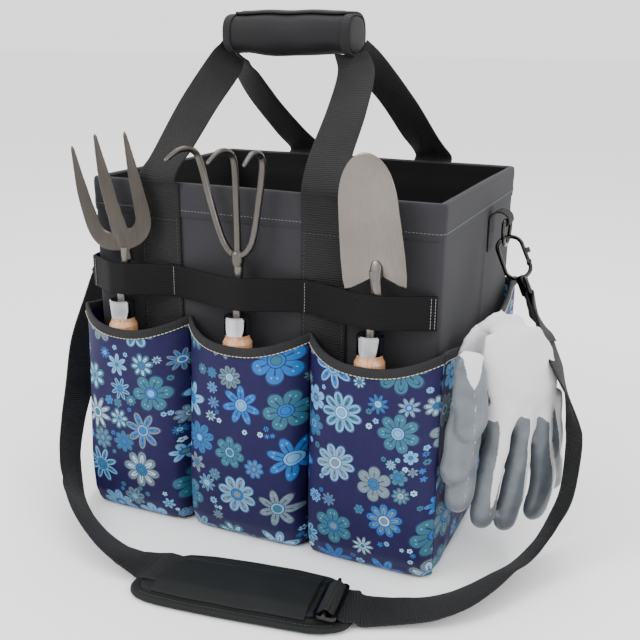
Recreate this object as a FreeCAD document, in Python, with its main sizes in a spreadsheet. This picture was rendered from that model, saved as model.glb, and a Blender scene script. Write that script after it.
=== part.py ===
import FreeCAD, Part
import math
import os
from FreeCAD import Placement, Rotation, Vector
from Sketcher import Constraint

# Garden tool bag: an open, board-stiffened tote with pockets all round, carrying
# handles that meet in a padded grip, a clip-on shoulder strap, and its tools.
# Millimetres. Origin: centre of the base's underside. +Z up, front towards -Y.

doc = FreeCAD.newDocument("GardenToolBag")
sheet = doc.addObject("Spreadsheet::Sheet", "Sizes")

SIZES = [
    ("bag_width", 305, "front panel, edge to edge"),
    ("bag_depth", 238, "front face to back face"),
    ("bag_height", 297, "floor to rim"),
    ("cloth", 1.6, "coated polyester cloth"),
    ("board", 2.4, "stiffening board inside the walls"),
    ("liner", 0.8, "lining cloth"),
    ("hem_height", 26, "folded top hem"),
    ("hem_cloth", 0.6, "hem cloth outside and over the walls"),
    ("webbing", 38, "handle and strap webbing width"),
    ("webbing_thick", 1.8, "handle webbing thickness"),
    ("sewn_gap", 0.7, "webbing lies this far off the wall, over the hem"),
    ("front_left", -86, "centre of the front handle's left end"),
    ("front_right", 60, "centre of the front handle's right end"),
    ("rear_left", -66, "centre of the rear handle's left end"),
    ("rear_right", 71, "centre of the rear handle's right end"),
    ("skirt", 160, "half width of the pocket skirt"),
    ("pocket_edge", 6, "how far a pocket's side stands out"),
    ("pocket_foot", 10, "how far a pocket stands out at its foot"),
    ("pocket_belly", 29, "how far a front pocket stands out near its foot"),
    ("pocket_mouth", 31, "how far a front pocket stands out at its mouth"),
    ("side_mouth", 12, "how far a side pocket stands out at its mouth"),
    ("pocket_low", 2, "height of a pocket's foot"),
    ("pocket_knee", 30, "height where a pocket reaches its belly"),
    ("pocket_top", 188, "height of the pocket mouths at the seams"),
    ("scoop", 12, "how far the mouths dip between seams"),
    ("binding", 8, "height of the binding on the mouths"),
    ("binding_proud", 0.6, "binding outside and inside the cloth"),
    ("seam_left", -60, "left seam between front pockets"),
    ("seam_right", 50, "right seam between front pockets"),
    ("band_low", 203.5, "lower edge of the elastic"),
    ("band_height", 27, "width of the elastic"),
    ("band_thick", 1.6, "thickness of the elastic"),
    ("band_bulge", 17.4, "how far the elastic stands out over a tool"),
    ("grip_length", 114, "padded grip"),
    ("grip_depth", 42, "padded grip, front to back"),
    ("grip_height", 33, "padded grip, top to bottom"),
    ("grip_x", -12, "grip centre"),
    ("grip_y", -22, "grip centre"),
    ("grip_z", 412, "grip centre"),
    ("wrap_cloth", 2, "grip cover"),
    ("tool_y", -134.6, "line of the tools' handles"),
    ("head_y", -128, "plane of the tools' heads"),
    ("handle_radius", 12.5, "wooden handle"),
    ("handle_length", 128, "wooden handle"),
    ("ferrule_radius", 10.6, "metal ferrule"),
    ("ferrule_length", 15, "metal ferrule"),
    ("shaft_radius", 3.6, "steel neck of a tool"),
    ("steel", 2, "sheet steel of trowel and fork"),
    ("ring_x", 168, "plane of the rings on the bag's ends"),
    ("ring_y", 27, "centre of the rings on the bag's ends"),
    ("ring_z", 247, "where a hook hangs in its ring"),
    ("wire", 1.7, "radius of ring and hook wire"),
    ("tab_width", 20, "tape that holds a ring"),
    ("strap_thick", 1.8, "shoulder strap webbing"),
    ("pad_length", 160, "shoulder pad"),
    ("pad_width", 70, "shoulder pad"),
    ("pad_height", 9, "shoulder pad"),
    ("pad_x", 38, "shoulder pad centre"),
    ("pad_y", -213, "shoulder pad centre"),
    ("pad_turn", 7.5, "shoulder pad, turned about +Z, degrees"),
]
for row, (alias, value, meaning) in enumerate(SIZES, start=1):
    sheet.set(f"A{row}", meaning)
    sheet.set(f"B{row}", str(value))
    sheet.setAlias(f"B{row}", alias)
doc.recompute()
size = {alias: float(value) for alias, value, meaning in SIZES}
parts = []


def keep(piece, label):
    piece.Label = label
    parts.append(piece)
    return piece


def bind(piece, **expressions):
    """Tie properties of a piece to the sheet; bag_width stands for Sizes.bag_width."""
    for name, text in expressions.items():
        for alias in sorted(size, key=len, reverse=True):
            text = replace_word(text, alias)
        piece.setExpression(name.replace("__", "."), text)
    return piece


def replace_word(text, alias):
    out, place = "", 0
    while True:
        found = text.find(alias, place)
        if found < 0:
            return out + text[place:]
        before = text[found - 1] if found else " "
        after = text[found + len(alias)] if found + len(alias) < len(text) else " "
        whole = not (before.isalnum() or before in "_." or after.isalnum() or after == "_")
        out += text[place:found] + ("Sizes." if whole else "") + alias
        place = found + len(alias)


def slab(label, length, width, height, x, y, z):
    """A box whose sizes and low corner are expressions on the sheet."""
    box = doc.addObject("Part::Box", label)
    bind(box, Length=length, Width=width, Height=height,
         Placement__Base__x=x, Placement__Base__y=y, Placement__Base__z=z)
    return keep(box, label)


def solid(label, shape, place=None):
    """A piece whose shape is worked out here, then placed."""
    piece = doc.addObject("Part::Feature", label)
    piece.Shape = shape
    if place:
        piece.Placement = place
    return keep(piece, label)


def sketch_on(body, name, role="XY_Plane"):
    sketch = body.newObject("Sketcher::SketchObject", name)
    plane = next(item for item in body.Origin.OriginFeatures if item.Role == role)
    sketch.AttachmentSupport = [(plane, "")]
    sketch.MapMode = "FlatFace"
    return sketch


def rectangle(sketch, width, height, middle=(0, 0)):
    """A rectangle centred on a point, its two sizes bound to the sheet."""
    x, y = middle
    corners = [Vector(x - 5, y - 5), Vector(x + 5, y - 5), Vector(x + 5, y + 5), Vector(x - 5, y + 5)]
    first = sketch.GeometryCount
    for start, end in zip(corners, corners[1:] + corners[:1]):
        sketch.addGeometry(Part.LineSegment(start, end))
    centre = sketch.addGeometry(Part.Point(Vector(x, y)))
    for i in range(4):
        sketch.addConstraint(Constraint("Coincident", first + i, 2, first + (i + 1) % 4, 1))
        sketch.addConstraint(Constraint("Vertical" if i % 2 else "Horizontal", first + i))
    sketch.addConstraint(Constraint("Symmetric", first, 1, first + 1, 2, centre, 1))
    sketch.addConstraint(Constraint("DistanceX", -1, 1, centre, 1, x))
    sketch.addConstraint(Constraint("DistanceY", -1, 1, centre, 1, y))
    across = sketch.addConstraint(Constraint("DistanceX", first, 1, first, 2, 10))
    up = sketch.addConstraint(Constraint("DistanceY", first + 1, 1, first + 1, 2, 10))
    bind(sketch, **{f"Constraints[{across}]": width, f"Constraints[{up}]": height})


def outline(sketch, points):
    """A closed run of straight edges through the points."""
    for start, end in zip(points, points[1:] + points[:1]):
        sketch.addGeometry(Part.LineSegment(Vector(*start), Vector(*end)))


def padded_body(label, draw, length, role="XY_Plane", **placing):
    """A body padded from one sketch; the caller adds pockets and fillets."""
    body = doc.addObject("PartDesign::Body", label)
    sketch = sketch_on(body, label + "_sketch", role)
    draw(sketch)
    pad = body.newObject("PartDesign::Pad", label + "_pad")
    pad.Profile = sketch
    bind(pad, Length=length)
    bind(body, **placing)
    keep(body, label)
    return body


def cut_pocket(body, name, draw, length, role="XY_Plane", lift=None):
    """Pocket a second sketch out of a body, from its plane towards the solid."""
    sketch = sketch_on(body, name + "_sketch", role)
    if lift:
        bind(sketch, AttachmentOffset__Base__z=lift)
    draw(sketch)
    pocket = body.newObject("PartDesign::Pocket", name)
    pocket.Profile = sketch
    pocket.Reversed = True
    bind(pocket, Length=length)
    doc.recompute()
    return pocket


def fillet(body, name, edges, radius):
    """Round the edges of the body's present tip that the test picks."""
    doc.recompute()
    tip = body.Tip
    picked = [f"Edge{i}" for i, edge in enumerate(tip.Shape.Edges, start=1) if edges(edge)]
    rounding = body.newObject("PartDesign::Fillet", name)
    rounding.Base = (tip, picked)
    rounding.Radius = radius
    return rounding


def turned_body(label, profile, place):
    """A body turned about its own Z axis from a half profile of (radius, height) points."""
    body = doc.addObject("PartDesign::Body", label)
    sketch = sketch_on(body, label + "_sketch", "XZ_Plane")
    outline(sketch, profile)
    turn = body.newObject("PartDesign::Revolution", label + "_turn")
    turn.Profile = sketch
    turn.ReferenceAxis = (sketch, ["V_Axis"])
    turn.Angle = 360
    body.Placement = place
    return keep(body, label)


# ---- the bag's walls: cloth outside, board, lining, hem -------------------------

half_width, half_depth = "bag_width / 2", "bag_depth / 2"
slab("base_panel", "bag_width", "bag_depth", "cloth", f"-{half_width}", f"-{half_depth}", "0")
slab("base_board", "bag_width - 2 * cloth", "bag_depth - 2 * cloth", "board",
     f"cloth - {half_width}", f"cloth - {half_depth}", "cloth")

wall_height = "bag_height - hem_cloth - cloth"
board_height = "bag_height - hem_cloth - cloth - board"
for name, y in (("front", f"-{half_depth}"), ("back", f"{half_depth} - cloth")):
    slab(f"{name}_panel", "bag_width", "cloth", wall_height, f"-{half_width}", y, "cloth")
for name, x in (("left", f"-{half_width}"), ("right", f"{half_width} - cloth")):
    slab(f"{name}_panel", "cloth", "bag_depth - 2 * cloth", wall_height, x, f"cloth - {half_depth}", "cloth")


def board_pair(label, wide, deep, draw_two):
    """Two like boards that stand on the base board, facing each other."""
    return padded_body(label, lambda s: [rectangle(s, wide, deep, middle) for middle in draw_two],
                       board_height, Placement__Base__z="cloth + board")


board_y = (size["bag_depth"] - 2 * size["cloth"] - size["board"]) / 2
board_x = (size["bag_width"] - 2 * size["cloth"] - size["board"]) / 2
board_pair("long_boards", "bag_width - 2 * cloth", "board", [(0, -board_y), (0, board_y)])
board_pair("end_boards", "board", "bag_depth - 2 * cloth - 2 * board", [(-board_x, 0), (board_x, 0)])

wall = "(2 * cloth + 2 * board)"
lining = padded_body("lining", lambda s: rectangle(s, f"bag_width - {wall}", f"bag_depth - {wall}"),
                     board_height, Placement__Base__z="cloth + board")
cut_pocket(lining, "lining_hollow",
           lambda s: rectangle(s, f"bag_width - {wall} - 2 * liner", f"bag_depth - {wall} - 2 * liner"),
           f"{board_height} - liner", lift="liner")

hem = padded_body("rim_hem", lambda s: rectangle(s, "bag_width + 2 * hem_cloth", "bag_depth + 2 * hem_cloth"),
                  "hem_height", Placement__Base__z="bag_height - hem_height")
hem_inside = f"({wall} + 2 * liner + 2 * hem_cloth)"
cut_pocket(hem, "hem_opening",
           lambda s: rectangle(s, f"bag_width - {hem_inside}", f"bag_depth - {hem_inside}"), "hem_height")


def hem_groove(sketch):
    rectangle(sketch, "bag_width", "bag_depth")
    rectangle(sketch, f"bag_width - {wall} - 2 * liner", f"bag_depth - {wall} - 2 * liner")


cut_pocket(hem, "hem_groove", hem_groove, "hem_height - hem_cloth")


# ---- handle webbing sewn down the front and back --------------------------------

sewn_height = "bag_height - 8"
for name, sign in (("front", -1), ("rear", 1)):
    y = sign * (size["bag_depth"] / 2 + size["sewn_gap"] + size["webbing_thick"] / 2)
    ends = [(size[f"{name}_left"], y), (size[f"{name}_right"], y)]
    padded_body(f"{name}_webbing", lambda s: [rectangle(s, "webbing", "webbing_thick", end) for end in ends],
                sewn_height, Placement__Base__z="4")


# ---- pockets: a printed skirt with bound, scooped mouths ------------------------

pocket_plane = size["sewn_gap"] + size["webbing_thick"] + 0.1


def pocket_section(low, high, edge, belly, height):
    """Plan outline of a pocket: square sides and a bowed front, standing out along +Y."""
    middle = (low + high) / 2
    corners = [Vector(low, 0, height), Vector(low, edge, height), Vector(middle, belly, height),
               Vector(high, edge, height), Vector(high, 0, height)]
    return Part.Wire([Part.makeLine(corners[0], corners[1]),
                      Part.Arc(corners[1], corners[2], corners[3]).toShape(),
                      Part.makeLine(corners[3], corners[4]),
                      Part.makeLine(corners[4], corners[0])])


def pocket_block(low, high, mouth, inset):
    """The pocket's outer form shrunk by an inset on every side but the wall's."""
    sections = [(size["pocket_low"] + max(inset, 0), size["pocket_foot"]),
                (size["pocket_knee"], min(size["pocket_belly"], mouth)),
                (size["pocket_top"] + 2, mouth)]
    wires = [pocket_section(low + inset, high - inset, size["pocket_edge"] - inset, belly - inset, height)
             for height, belly in sections]
    return Part.makeLoft(wires, True, True)


def scoop_cylinder(low, high, extra):
    """A round bar along Y whose underside is the scooped line of a pocket's mouth."""
    half = (high - low) / 2
    radius = (half ** 2 + size["scoop"] ** 2) / (2 * size["scoop"])
    centre = Vector((low + high) / 2, -5, size["pocket_top"] - size["scoop"] + radius)
    return Part.makeCylinder(radius + extra, 60, centre, Vector(0, 1, 0))


def pocket(low, high, mouth):
    """The cloth of one pocket and the binding on its mouth, on a wall along X."""
    low, high = low + 0.15, high - 0.15
    cloth, proud = size["cloth"], size["binding_proud"]
    shell = pocket_block(low, high, mouth, 0).cut(pocket_block(low, high, mouth, cloth))
    thick = pocket_block(low, high, mouth, -proud).cut(pocket_block(low, high, mouth, cloth + proud))
    top = Part.makeBox(high - low - 0.1, 60, 80, Vector(low + 0.05, 0.05, size["pocket_top"] - 60))
    band = thick.common(scoop_cylinder(low, high, size["binding"])).cut(scoop_cylinder(low, high, 0))
    return shell.cut(scoop_cylinder(low, high, size["binding"] + 0.05)), band.common(top)


def wall_place(angle, distance):
    """Stand a pocket made along +X and +Y against the wall that faces the angle."""
    turn = Rotation(Vector(0, 0, 1), angle)
    return Placement(turn.multVec(Vector(0, distance, 0)), turn)


front_edges = [-size["skirt"], size["seam_left"], size["seam_right"], size["skirt"]]
end_reach = size["bag_depth"] / 2 + pocket_plane - 0.2
groups = {
    "front": (180, size["bag_depth"] / 2, [(-b, -a) for a, b in zip(front_edges, front_edges[1:])],
              size["pocket_mouth"]),
    "back": (0, size["bag_depth"] / 2, list(zip(front_edges, front_edges[1:])), size["pocket_mouth"]),
    "left": (90, size["bag_width"] / 2, [(-end_reach, end_reach)], size["side_mouth"]),
    "right": (-90, size["bag_width"] / 2, [(-end_reach, end_reach)], size["side_mouth"]),
}
for side, (angle, reach, spans, mouth) in groups.items():
    place = wall_place(angle, reach + pocket_plane)
    shells, bands = zip(*[pocket(low, high, mouth) for low, high in spans])
    if side == "front":
        for name, shell in zip(("right", "centre", "left"), shells[::-1]):
            solid(f"front_pocket_{name}", shell, place)
    else:
        solid(f"{side}_pocket" + ("s" if len(shells) > 1 else ""), Part.makeCompound(shells), place)
    solid(f"{side}_pocket_binding", Part.makeCompound(bands), place)


# ---- elastic band across the front, sewn down between the tools -----------------

tool_x = {"fork": -118.4, "cultivator": -8.5, "trowel": 104.5}
band_plane = size["bag_depth"] / 2 + pocket_plane
stitch_x = [-152.5, -73, 45, 152.5]
band_points = []
for (low, high), x in zip(zip(stitch_x, stitch_x[1:]), tool_x.values()):
    band_points += [(low + 0.5, 0), (x - 12, size["band_bulge"]), (x + 12, size["band_bulge"]), (high - 0.5, 0)]
inside = [Vector(x, -band_plane - y, 0) for x, y in band_points]
outside = [Vector(x, -band_plane - y - size["band_thick"], 0) for x, y in reversed(band_points)]
band_face = Part.Face(Part.makePolygon(inside + outside + inside[:1]))
solid("elastic_band", band_face.extrude(Vector(0, 0, size["band_height"])),
      Placement(Vector(0, 0, size["band_low"]), Rotation()))


# ---- carrying handles: four free webbing legs and the padded grip ---------------

def ribbon(stations, width, thick):
    """A flat band lofted through stations of (centre, width direction, tangent)."""
    wires = []
    for centre, across, along in stations:
        across = Vector(across)
        across.normalize()
        normal = Vector(along).cross(across)
        normal.normalize()
        a, b = across * (width / 2), normal * (thick / 2)
        centre = Vector(centre)
        ring = [centre - a - b, centre + a - b, centre + a + b, centre - a + b]
        wires.append(Part.makePolygon(ring + ring[:1]))
    return Part.makeLoft(wires, True, True)


grip_low = size["grip_z"] - size["grip_height"] / 2 - 2
for name, sign in (("front", -1), ("rear", 1)):
    for side, hand in (("left", -1), ("right", 1)):
        foot = Vector(size[f"{name}_{side}"],
                      sign * (size["bag_depth"] / 2 + size["sewn_gap"] + size["webbing_thick"] / 2),
                      size["bag_height"] - 3.9)
        head = Vector(size["grip_x"] + hand * (size["grip_length"] / 2 + 3),
                      size["grip_y"] + sign * 8, grip_low)
        bow = (foot + head) * 0.5 + Vector(hand * 8, sign * 14, 8)
        rim = foot + Vector(0, 0, 12)
        rise = head - bow
        solid(f"{name}_leg_{side}", ribbon([(foot, (1, 0, 0), (0, 0, 1)), (rim, (1, 0, 0), (0, 0, 1)),
                                           (bow, (1, 0, 0), (0, rise.y, rise.z)),
                                           (head, (1, 0, 0), (0, rise.y, rise.z))],
                                          size["webbing"] - 0.2, size["webbing_thick"]))

slab("grip_webbing", "grip_length", "webbing - 6", "2 * webbing_thick",
     "grip_x - grip_length / 2", "grip_y - (webbing - 6) / 2", "grip_z - webbing_thick")


def grip_body(label, width, height, hollow_width, hollow_height, radius, trim):
    """A tube along X: a rounded block with a rectangular bore."""
    body = padded_body(label, lambda s: rectangle(s, width, height), f"grip_length - {trim}", "YZ_Plane",
                       Placement__Base__x=f"grip_x - (grip_length - {trim}) / 2",
                       Placement__Base__y="grip_y", Placement__Base__z="grip_z")
    fillet(body, label + "_round", lambda e: abs(e.tangentAt(e.FirstParameter).x) > 0.99, radius)
    cut_pocket(body, label + "_bore", lambda s: rectangle(s, hollow_width, hollow_height),
               f"grip_length - {trim}", "YZ_Plane")
    return body


grip_body("grip_foam", "grip_depth - 2 * wrap_cloth - 0.2", "grip_height - 2 * wrap_cloth - 0.2",
          "webbing - 5.8", "2 * webbing_thick + 0.2", 8, "8")
grip_body("grip_wrap", "grip_depth", "grip_height",
          "grip_depth - 2 * wrap_cloth", "grip_height - 2 * wrap_cloth", 10, "0")


# ---- hand tools: wooden handle, ferrule, neck and head --------------------------

handle_top = 186.0
foot_z = handle_top - size["handle_length"]
handle_profile = [(0, 0), (7, 1), (10.5, 6), (size["handle_radius"], 22), (11.4, 60), (12.2, 100),
                  (size["handle_radius"] - 0.6, 118), (size["ferrule_radius"] - 0.8, size["handle_length"] - 6),
                  (size["ferrule_radius"] - 0.8, size["handle_length"]), (0, size["handle_length"])]
top = size["ferrule_length"]
ferrule_profile = [(size["ferrule_radius"] - 0.75, 0), (size["ferrule_radius"], 0), (size["ferrule_radius"], top - 1),
                   (size["ferrule_radius"] - 1, top), (size["shaft_radius"] + 0.05, top),
                   (size["shaft_radius"] + 0.05, top - 1), (size["ferrule_radius"] - 0.75, top - 1)]


def rod(points, radius, bend):
    """Round bar through the points, with an arc of the bend radius at each corner."""
    points = [Vector(*p) for p in points]
    edges, start = [], points[0]
    for before, corner, after in zip(points, points[1:], points[2:]):
        a, b = (before - corner).normalize(), (after - corner).normalize()
        if a.dot(b) < -0.9999:
            continue
        half = math.acos(max(-1, min(1, a.dot(b)))) / 2
        reach = bend / math.tan(half)
        inner_side = (a + b).normalize()
        middle = corner + inner_side * (bend / math.sin(half) - bend)
        edges += [Part.makeLine(start, corner + a * reach),
                  Part.Arc(corner + a * reach, middle, corner + b * reach).toShape()]
        start = corner + b * reach
    edges.append(Part.makeLine(start, points[-1]))
    path = Part.Wire(edges)
    first = (points[1] - points[0]).normalize()
    ring = Part.Wire(Part.makeCircle(radius, points[0], first))
    return path.makePipeShell([ring], True, False)


for tool, x in tool_x.items():
    turned_body(f"{tool}_handle", handle_profile,
                Placement(Vector(x, size["tool_y"], foot_z), Rotation()))
    turned_body(f"{tool}_ferrule", ferrule_profile,
                Placement(Vector(x, size["tool_y"], handle_top - 6 + 3.05), Rotation()))


def sheet_head(points, lean, place, dish=None):
    """A sheet-steel head: an outline in X and Z, leaning about Y, dished to a radius."""
    face = Part.Face(Part.makePolygon([Vector(x, 0, z) for x, z in points + points[:1]]))
    plate = face.extrude(Vector(0, -60, 0))
    plate.translate(Vector(0, 30, 0))
    if dish:
        length = 130
        centre = Vector(0, -dish, -10)
        tube = Part.makeCylinder(dish, length, centre).cut(
            Part.makeCylinder(dish - size["steel"], length, centre))
        plate = plate.common(tube)
    else:
        plate = plate.common(Part.makeBox(200, size["steel"], 200, Vector(-100, -size["steel"] / 2, -20)))
    plate.rotate(Vector(0, 0, 0), Vector(0, 1, 0), -lean)
    plate.translate(place)
    return plate


def mirrored(points):
    return points + [(-x, z) for x, z in reversed(points) if x > 0.01]


neck_foot = handle_top + 12.2
fork_root = Vector(-112.5, size["head_y"], 236)
fork_half = [(0, -1), (4.5, 0), (7, 6), (17, 9), (29, 14), (33.5, 21), (32.5, 55), (28, 94), (26.5, 94),
             (23.5, 55), (20.5, 27), (17, 22), (11.5, 22), (7, 27), (5, 60), (1, 97)]
solid("fork_head", sheet_head(mirrored(fork_half), 15, fork_root, dish=120))
solid("fork_neck", rod([(tool_x["fork"], size["tool_y"], neck_foot - 10),
                        (tool_x["fork"], size["tool_y"], neck_foot + 8),
                        (-113.5, size["head_y"] - 5.2, 232),
                        (-113.5, size["head_y"] - 5.2, 243)], size["shaft_radius"], 14))

trowel_root = Vector(107.5, size["head_y"], 234.6)
trowel_half = [(0, 5), (6, 4), (14, 0), (22, 0), (25, 4), (24.5, 30), (22.5, 60), (18, 80), (9, 95), (0, 100)]
solid("trowel_head", sheet_head(mirrored(trowel_half), 7, trowel_root, dish=42))
solid("trowel_neck", rod([(tool_x["trowel"], size["tool_y"], neck_foot - 10),
                          (tool_x["trowel"], size["tool_y"], neck_foot + 8),
                          (107, size["head_y"] - 5.2, 232),
                          (105.2, size["head_y"] - 5.2, 247)], size["shaft_radius"], 14))

cultivator_top = Vector(-8, size["head_y"] - 4, 252)
solid("cultivator_neck", rod([(tool_x["cultivator"], size["tool_y"], neck_foot - 10),
                              (tool_x["cultivator"], size["tool_y"], neck_foot + 8),
                              (-8, size["head_y"] - 4, 230),
                              (-8, size["head_y"] - 4, 250)], size["shaft_radius"], 14))
prong_ends = {
    "left": [(-12.5, 262), (-35, 319), (-47, 330)],
    "centre": [(-8, 262), (-8, 319), (-12, 330)],
    "right": [(-3, 262), (13, 324), (18, 335)],
}
prongs = []
for (x0, z0), (x1, z1), (x2, z2) in prong_ends.values():
    prongs.append(rod([(-8, size["head_y"] - 4, 246), (x0, size["head_y"] - 4, z0), (x1, size["head_y"] - 4, z1),
                       (x2, size["head_y"] - 42, z2)], 2.9, 5))
collar = Part.makeCylinder(6, 16, Vector(-8, size["head_y"] - 4, 240)).cut(
    Part.makeCylinder(size["shaft_radius"] + 0.02, 10, Vector(-8, size["head_y"] - 4, 240)))
head = collar
for prong in prongs:
    head = head.fuse(prong)
head = head.cut(Part.makeCylinder(size["shaft_radius"] + 0.02, 10.02, Vector(-8, size["head_y"] - 4, 240)))
solid("cultivator_head", head)


# ---- ring tapes, rings and hooks on the bag's two ends --------------------------

hook_along = Vector(34, -46, -44).normalize()
bight = 10.5


def tape_shape():
    """A tape sewn flat on the end wall that arches out and down over the ring's bar."""
    wall_x = size["bag_width"] / 2 + size["sewn_gap"]
    bar_x, bar_z = size["ring_x"], size["ring_z"] + 16
    thick = 1.4
    mid = (wall_x + bar_x) / 2
    outer = Part.Arc(Vector(wall_x, 0, bar_z), Vector(mid, 0, bar_z + (bar_x - wall_x) / 2 + 3.2),
                     Vector(bar_x + 3.6, 0, bar_z)).toShape()
    inner_arc = Part.Arc(Vector(bar_x + 2.2, 0, bar_z), Vector(mid, 0, bar_z + (bar_x - wall_x) / 2 + 1.8),
                         Vector(wall_x + thick, 0, bar_z)).toShape()
    low = bar_z - 28
    wire = Part.Wire([Part.makeLine(Vector(wall_x, 0, low), Vector(wall_x, 0, bar_z)), outer,
                      Part.makeLine(Vector(bar_x + 3.6, 0, bar_z), Vector(bar_x + 2.2, 0, bar_z)), inner_arc,
                      Part.makeLine(Vector(wall_x + thick, 0, bar_z), Vector(wall_x + thick, 0, low)),
                      Part.makeLine(Vector(wall_x + thick, 0, low), Vector(wall_x, 0, low))])
    tape = Part.Face(wire).extrude(Vector(0, size["tab_width"], 0))
    tape.translate(Vector(0, size["ring_y"] - size["tab_width"] / 2, 0))
    hook_round = Part.makeCylinder(size["wire"] + 1.7, size["tab_width"],
                                   Vector(bar_x, size["ring_y"] - size["tab_width"] / 2, bar_z), Vector(0, 1, 0))
    eye = Part.makeCylinder(size["wire"] + 0.3, size["tab_width"],
                            Vector(bar_x, size["ring_y"] - size["tab_width"] / 2, bar_z), Vector(0, 1, 0))
    return tape.fuse(hook_round).cut(eye)


def d_ring_shape():
    """A D of round wire in the plane of the wall: straight bar above, bow below."""
    half, wire, corner = 14.5, size["wire"], 4.0
    x, y, bar_z = size["ring_x"], size["ring_y"], size["ring_z"] + 16
    bow_z = size["ring_z"] - 6 + half
    turn = corner * math.sqrt(0.5)
    path = Part.Wire([
        Part.makeLine(Vector(x, y - half + corner, bar_z), Vector(x, y + half - corner, bar_z)),
        Part.Arc(Vector(x, y + half - corner, bar_z),
                 Vector(x, y + half - corner + turn, bar_z - corner + turn),
                 Vector(x, y + half, bar_z - corner)).toShape(),
        Part.makeLine(Vector(x, y + half, bar_z - corner), Vector(x, y + half, bow_z)),
        Part.Arc(Vector(x, y + half, bow_z), Vector(x, y, bow_z - half), Vector(x, y - half, bow_z)).toShape(),
        Part.makeLine(Vector(x, y - half, bow_z), Vector(x, y - half, bar_z - corner)),
        Part.Arc(Vector(x, y - half, bar_z - corner),
                 Vector(x, y - half + corner - turn, bar_z - corner + turn),
                 Vector(x, y - half + corner, bar_z)).toShape()])
    circle = Part.makeCircle(wire, Vector(x, y - half + corner, bar_z), Vector(0, 1, 0))
    return path.makePipeShell([Part.Wire(circle)], True, True)


def hook_frame():
    """Origin where the hook hangs in its ring, local -Z along the hook, local X outwards."""
    down = hook_along
    side = Vector(1, 0, 0)
    side = (side - down * side.dot(down)).normalize()
    up = down * -1
    return Placement(FreeCAD.Matrix(
        side.x, up.cross(side).x, up.x, size["ring_x"],
        side.y, up.cross(side).y, up.y, size["ring_y"],
        side.z, up.cross(side).z, up.z, size["ring_z"],
        0, 0, 0, 1))


def hook_body_shape():
    """A wire hook: round bight, two legs, and a swivel shank; the gate closes the outer leg."""
    r, wire, low = bight, size["wire"], 34.0
    top_arc = Part.Arc(Vector(r, 0, -r), Vector(0, 0, 0), Vector(-r, 0, -r)).toShape()
    low_arc = Part.Arc(Vector(-r, 0, -low), Vector(0, 0, -low - r), Vector(r, 0, -low)).toShape()
    path = Part.Wire([Part.makeLine(Vector(r, 0, -12), Vector(r, 0, -r)), top_arc,
                      Part.makeLine(Vector(-r, 0, -r), Vector(-r, 0, -low)), low_arc])
    ring = Part.Wire(Part.makeCircle(wire, Vector(r, 0, -12), Vector(0, 0, 1)))
    loop = path.makePipeShell([ring], True, False)
    shank = Part.makeCone(4.6, 5.2, 6, Vector(0, 0, -low - r - 6.5))
    stem = Part.makeCylinder(2.2, 15, Vector(0, 0, -low - r - 19.5))
    knob = Part.makeCylinder(3.4, 2, Vector(0, 0, -low - r - 19.9))
    return loop.fuse([shank, stem, knob])


def hook_gate_shape():
    """The sprung gate: a flat bar from its pivot, low on the outer leg, up to the nose."""
    r, pivot = bight, -31.4
    bar = Part.makeCylinder(1.7, pivot * -1 - 13, Vector(r, 0, pivot))
    bar = bar.fuse(Part.makeCylinder(2.2, 4.4, Vector(r, -2.2, pivot), Vector(0, 1, 0)))
    button = Part.makeCylinder(2.4, 3.4, Vector(r + 1, 0, -19), Vector(1, 0, 0))
    return bar.fuse(button)


def strap_ring_shape():
    """A rectangular ring for the webbing, with the barrel that the hook's stem turns in."""
    wide, deep, corner, top_z = size["webbing"] / 2 + 3.5, 14.0, 4.0, -58.4
    turn = corner * (1 - math.sqrt(0.5))
    stops = []
    for y_sign, z_sign in ((1, 1), (1, -1), (-1, -1), (-1, 1)):
        y, z = y_sign * wide, top_z - deep / 2 + z_sign * deep / 2
        on_end, on_side = Vector(0, y - y_sign * corner, z), Vector(0, y, z - z_sign * corner)
        middle = Vector(0, y - y_sign * turn, z - z_sign * turn)
        stops.append((on_end, middle, on_side) if y_sign == z_sign else (on_side, middle, on_end))
    edges = []
    for (_, _, last), (start, middle, end) in zip(stops[-1:] + stops[:-1], stops):
        edges += [Part.makeLine(last, start), Part.Arc(start, middle, end).toShape()]
    path = Part.Wire(edges)
    circle = Part.makeCircle(size["wire"], stops[-1][2], stops[0][0] - stops[-1][2])
    ring = path.makePipeShell([Part.Wire(circle)], True, True)
    barrel = Part.makeCylinder(4.8, 9, Vector(0, 0, -60.6))
    bore = Part.makeCylinder(2.5, 20, Vector(0, 0, -70))
    recess = Part.makeCylinder(3.8, 8, Vector(0, 0, -67.0))
    return ring.fuse(barrel).cut(bore.fuse(recess))


frame = hook_frame()
hardware = {"d_ring": d_ring_shape()}
for name, shape in (("hook_body", hook_body_shape()), ("hook_gate", hook_gate_shape()),
                    ("strap_ring", strap_ring_shape())):
    hardware[name] = shape.transformed(frame.Matrix)
tape = tape_shape()
solid("ring_tapes", Part.makeCompound([tape, tape.mirror(Vector(0, 0, 0), Vector(1, 0, 0))]))
for name, shape in hardware.items():
    solid(f"right_{name}", shape)
    solid(f"left_{name}", shape.mirror(Vector(0, 0, 0), Vector(1, 0, 0)))


# ---- shoulder strap, from the right hook along the floor to the left hook -------

def run(points, across):
    """Stations along the strap: each tangent points from the stop before to the stop after."""
    points = [Vector(*p) for p in points]
    stations = []
    for i, centre in enumerate(points):
        along = (points[min(i + 1, len(points) - 1)] - points[max(i - 1, 0)]).normalize()
        width = Vector(*across[i])
        stations.append((centre, width - along * along.dot(width), along))
    return stations


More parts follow.
